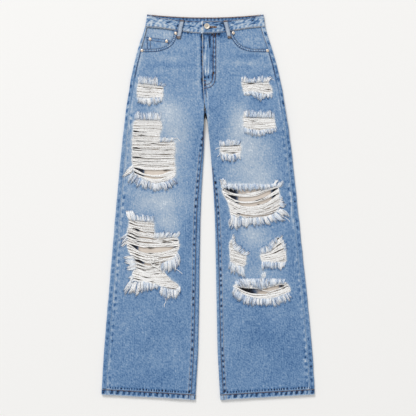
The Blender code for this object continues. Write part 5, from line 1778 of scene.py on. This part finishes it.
def makeLegStitching(side):
    title = sideNames[side].title()
    first = 318.0 if side == right else 420.0
    rows = stitchRow(alongInseam(side, first, 0.6), frontTop(side), 0.75, 601, radius=0.8)
    rows += stitchRow(alongInseam(side, first + 60, 8.0), frontTop(side), 0.2, 602)
    makeStrands("inseamStitching" + title, rows, tanThread)
    hemX = np.linspace(float(frontInner(side, hemTop)), float(frontOuter(side, hemTop)), 60)
    hemX = np.concatenate([[hemX[0] - side * 8.5], hemX, [hemX[-1] + side * 12.5]])
    rows = stitchRow(asRows(hemX, hemLine(side, hemX) + 1.4), hemTopFace(side), 0.6, 603, radius=1.4)
    down = np.array([hemTop + 1, hemMiddle - 1])
    for offset in (0.8, 8.0):
        x = frontInner(side, down) + side * offset
        rows += stitchRow(asRows(x, down + legSkew(side, x, hemTop)), hemTopFace(side), 0.4, 604)
    makeStrands("hemStitching" + title, rows, brownThread)


def makePocketStitching(side):
    title = sideNames[side].title()
    opening = stepped(openingLines[side], 2.0)
    opening = opening[(opening[:, 1] > bandFrontBottom(opening[:, 0]) + 1.5)
                      & (side * (frontOuter(side, opening[:, 1]) - opening[:, 0]) > 0.5)]
    rows = stitchRow(offsetLine(opening, side * 1.2), frontTop(side), 0.8, 605, radius=0.75)
    rows += stitchRow(offsetLine(opening, side * 7.6), frontTop(side), 0.9, 606, radius=0.85)
    down = np.arange(97.0, 176.0, 6.0)
    path = asRows(frontOuter(side, down) - side * 1.0, down)
    rows += stitchRow(path, frontTop(side), 0.8, 607, radius=0.8)
    down = np.arange(jeans["bandHeight"] + 3, 93.0, 4.0)
    path = asRows(frontOuter(side, down) - side * 1.6, down)

    def facingTop(x, down):
        return facingUp(side, x, down) + jeans["cloth"] / 2

    rows += stitchRow(path, facingTop, 0.1, 608, radius=0.5)
    makeStrands("pocketStitching" + title, rows, brownThread)


def coinRow(acrossFrom, belowFrom, acrossTo, belowTo):
    height = coinPocket["height"]
    return np.array([coinPoint(acrossFrom, belowFrom / height), coinPoint(acrossTo, belowTo / height)])


def coinTop(x, down):
    return turnedUp(down) - jeans["step"] + jeans["cloth"] / 2 + 0.3


def makeCoinStitching():
    rows = []
    for number, row in enumerate(((0.0, 1.2, 1.0, 1.2), (0.0, 8.4, 1.0, 8.4), (0.025, 9, 0.03, 40),
                                  (0.17, 9, 0.175, 40), (0.975, 9, 0.97, 30))):
        rows += stitchRow(coinRow(*row), coinTop, 0.55, 611 + number, radius=0.55, pitch=3.0)
    makeStrands("coinStitching", rows, brownThread)


def makeFlyStitching():
    rows = stitchRow(flyOuterRow, frontTop(left), 0.5, 621, radius=1.2)
    rows += stitchRow(flyInnerRow, frontTop(left), 0.4, 622, radius=1.2)
    down = np.arange(53.5, 247.0, 4.0)
    edgeRow = stitchRow(asRows(flyEdge(down) + 0.8, down), frontTop(left), -0.1, 623, radius=0.8)
    makeStrands("flyEdgeStitching", edgeRow, tanThread)
    down = np.arange(182.0, 232.0, 4.0)
    rows += stitchRow(asRows(flyEdge(down) + 7.4, down), frontTop(left), 0.55, 624, radius=0.75)
    makeStrands("flyStitching", rows, brownThread)
    tacks = bartack(14.6, 158.0, 14.8, 165.5, 4.0, frontTop(left), 0.25)
    tacks += bartack(-12.0, 182.5, -4.6, 182.5, 1.6, frontTop(left), 1.0)
    for _, topX, bottomX, bottomDown in beltLoops["front"]:

        def loopTop(x, down, topX=topX, bottomX=bottomX, bottomDown=bottomDown):
            along = (down - bandFrontTop(topX) + 1) / (bottomDown - bandFrontTop(topX) + 1)
            return loopPoint(topX, bottomX, bottomDown, 0.5, along)[2] + beltLoops["thickness"] / 2 - 0.2

        topDown = float(bandFrontTop(topX))
        tacks += bartack(topX - 5.4, topDown + 1.6, topX + 5.4, topDown + 1.6, 3.4, loopTop, 0.6)
        tacks += bartack(bottomX - 5.4, bottomDown - 2.2, bottomX + 5.4, bottomDown - 2.0, 3.6, loopTop, 0.1)
        tacks += bartack(bottomX - 5.4, bottomDown - 6.0, bottomX + 5.4, bottomDown - 5.8, 1.6, loopTop, 1.2)
    tacks += bartack(6.0, 33.8, 22.0, 34.4, 1.8, bandTopAt, 0.1)
    tacks += bartack(6.0, 36.2, 22.0, 36.7, 1.8, bandTopAt, 0.4)
    tacks += bartack(22.4, 33.2, 22.6, 37.6, 2.0, bandTopAt, 0.3)
    makeStrands("bartacks", tacks, orangeThread)


def bandRow(fromX, toX, share):
    x = np.linspace(fromX, toX, 60)
    return asRows(x, mix(bandFrontTop(x), bandFrontBottom(x), share))


def makeBandStitching():
    rows = []
    for number, share in enumerate((0.055, 0.935)):
        toLeft, toRight = bandRow(-15.0, 153.0 + 4 * share, share), bandRow(-168.0 - 4 * share, -19.0, share)
        rows += stitchRow(toLeft, bandTopAt, 0.55, 631 + number, radius=0.8)
        rows += stitchRow(toRight, bandTopAt, 0.55, 633 + number, radius=0.8)
    endX = -14.9
    down = np.linspace(float(bandFrontTop(endX)) + 2, float(bandFrontBottom(endX)) - 2, 12)
    endRow = stitchRow(asRows(np.full(12, endX), down), bandTopAt, -0.2, 635, radius=0.8)
    makeStrands("bandEndStitching", endRow, tanThread)

    def bandInside(x, down):
        return bandBackUp + band["thickness"] / 2

    x = np.linspace(-160.0, 146.0, 60)
    rows += stitchRow(asRows(x, bandBackDip(x) + 1.2), bandInside, 0.0, 636, radius=2.0)
    makeStrands("bandStitching", rows, brownThread)


def makeBackStitching():
    # Rows on the underside: yoke, seat, back pockets and the outside of the waistband.
    rows = []

    def backFace(x, down):
        return backUp(down) - jeans["cloth"] / 2

    def pocketFace(x, down):
        return 0.3

    def bandOutside(x, down):
        return bandBackUp - band["thickness"] / 2

    def addRow(x, down, surface, seed):
        rows.extend(stitchRow(asRows(x, down), surface, 0.4, seed, facing=-1, radius=0.45))

    for side in (left, right):
        x = np.linspace(jeans["backMiddle"] + side * 4, float(outerEdge(side, 80.0)) - side * 4, 40)
        for offset in (2.0, 8.0):
            addRow(x, yokeSeam(x) + offset, backFace, 641)
        for inset in (0.015, 0.075):
            foot = (np.linspace(0, 0.5, 8), np.linspace(0.5, 1, 8))
            share = np.concatenate([np.zeros(10), *foot, np.ones(10)])
            along = np.concatenate([np.linspace(0, 0.99, 10), np.full(16, 0.99), np.linspace(0.99, 0, 10)])
            share, along = mix(inset, 1 - inset, share), mix(0, 1 - inset, along)
            addRow(*backPocketPoint(side, share, along), pocketFace, 642)
        for below in (2.0, 16.0):
            share = np.linspace(0.02, 0.98, 12)
            along = below / (backPocket["point"] - backPocket["top"])
            addRow(*backPocketPoint(side, share, np.full(12, along)), pocketFace, 643)
    down = np.arange(40.0, 246.0, 5.0)
    for offset in (-3.0, -9.0):
        addRow(np.full(len(down), jeans["backMiddle"] + offset), down, backFace, 644)
    x = np.linspace(-150.0, 138.0, 50)
    for share in (0.06, 0.94):
        addRow(x, bandBackDip(x) + share * jeans["bandHeight"], bandOutside, 645)
    for _, topX, bottomX, bottomDown in beltLoops["back"]:
        for tackX, tackDown in ((topX, float(bandBackDip(topX)) + 2), (bottomX, bottomDown - 3)):
            rows += bartack(tackX - 5, tackDown, tackX + 5, tackDown, 2.4, pocketFace, 0.2, facing=-1)
    makeStrands("backStitching", rows, brownThread)


for eachSide in (left, right):
    makeLegStitching(eachSide)
    makePocketStitching(eachSide)
makeCoinStitching()
makeFlyStitching()
makeBandStitching()
makeBackStitching()
for eachSide, panel in fronts.items():
    threads = [camel(node) for node, rip in rips.items() if rip["side"] == eachSide]
    threads += [name + sideNames[eachSide].title() for name in ("inseamStitching", "pocketStitching")]
print("topstitching made")


buttonShape = (     # share of the radius, share of the height, brightness
    (0.0, 0.86, 0.9), (0.12, 0.86, 0.9), (0.22, 0.80, 0.6), (0.27, 0.66, 0.1), (0.36, 0.64, 0.05),
    (0.42, 0.74, 0.5), (0.60, 0.82, 0.75), (0.72, 0.82, 0.6), (0.78, 0.86, 0.4), (0.84, 0.97, 0.9),
    (0.91, 1.0, 1.0), (0.97, 0.93, 0.8), (1.0, 0.80, 0.5), (0.98, 0.66, 0.2), (0.90, 0.58, 0.1),
    (0.42, 0.50, 0.1), (0.34, 0.42, 0.1), (0.34, 0.0, 0.1), (0.0, 0.0, 0.1))
rivetShape = (
    (0.0, 1.0, 1.0), (0.16, 0.99, 0.9), (0.26, 0.94, 0.5), (0.32, 0.84, 0.15), (0.44, 0.86, 0.5),
    (0.62, 0.88, 0.8), (0.80, 0.80, 0.8), (0.92, 0.66, 0.6), (1.0, 0.46, 0.3), (1.0, 0.0, 0.1),
    (0.0, 0.0, 0.1))


def makeTurned(node, shape, steps, material):
    # A round part turned from its profile, in the place its node gives.
    low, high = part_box(node)
    radius, tall = 0.46 * (high[0] - low[0]), high[2] - low[2]
    piece = bmesh.new()
    shade = piece.verts.layers.float.new("shade")
    profile = []
    for out, up, bright in shape:
        vert = piece.verts.new((out * radius, 0.0, up * tall))
        vert[shade] = bright
        profile.append(vert)
    edges = [piece.edges.new(pair) for pair in zip(profile, profile[1:])]
    bmesh.ops.spin(piece, geom=profile + edges, cent=(0, 0, 0), axis=(0, 0, 1), angle=2 * math.pi,
                   steps=steps, use_merge=True)
    bmesh.ops.remove_doubles(piece, verts=piece.verts[:], dist=1e-6)
    bmesh.ops.recalc_face_normals(piece, faces=piece.faces[:])
    middle = ((low[0] + high[0]) / 2, (low[1] + high[1]) / 2, low[2])
    bmesh.ops.translate(piece, verts=piece.verts[:], vec=middle)
    finishPiece(piece, (material,), node)


makeTurned("waist_button", buttonShape, 56, pewter)
for node in ("rivet_pocket_left_inner", "rivet_pocket_left_outer", "rivet_pocket_right_inner",
             "rivet_pocket_right_outer", "rivet_coin_inner", "rivet_coin_outer"):
    makeTurned(node, rivetShape, 36, copper)
print("button and rivets made")


def makeStudio():
    bpy.ops.mesh.primitive_plane_add(size=14.0, location=(0, 0, 0))
    floor = bpy.context.object
    floor.name = "floor"
    paper, shader = newMaterial("paleStudioFloor", 0.95)
    shader.inputs["Base Color"].default_value = toLinear("#f5f4f2")
    floor.data.materials.append(paper)
    world = bpy.data.worlds.new("studio")
    bpy.context.scene.world = world
    world.use_nodes = True
    world.node_tree.nodes["Background"].inputs["Color"].default_value = (1, 1, 1, 1)
    world.node_tree.nodes["Background"].inputs["Strength"].default_value = 0.62
    lamp = bpy.data.lights.new("softboxTop", "AREA")
    lamp.size = 5.1
    lamp.energy = 1610
    holder = bpy.data.objects.new("softboxTop", lamp)
    holder.location = (-5.2, 11.75, 9.04)
    holder.rotation_mode = "QUATERNION"
    holder.rotation_quaternion = (-holder.location).to_track_quat("-Z", "Y")
    bpy.context.scene.collection.objects.link(holder)
    camera = bpy.data.cameras.new("camera")
    camera.lens = 85
    camera.sensor_width = 36
    viewer = bpy.data.objects.new("camera", camera)
    viewer.location = (0, -0.0021, 2.705)
    bpy.context.scene.collection.objects.link(viewer)
    bpy.context.scene.camera = viewer
    bpy.context.scene.view_settings.view_transform = "Standard"


makeStudio()
print("studio made")
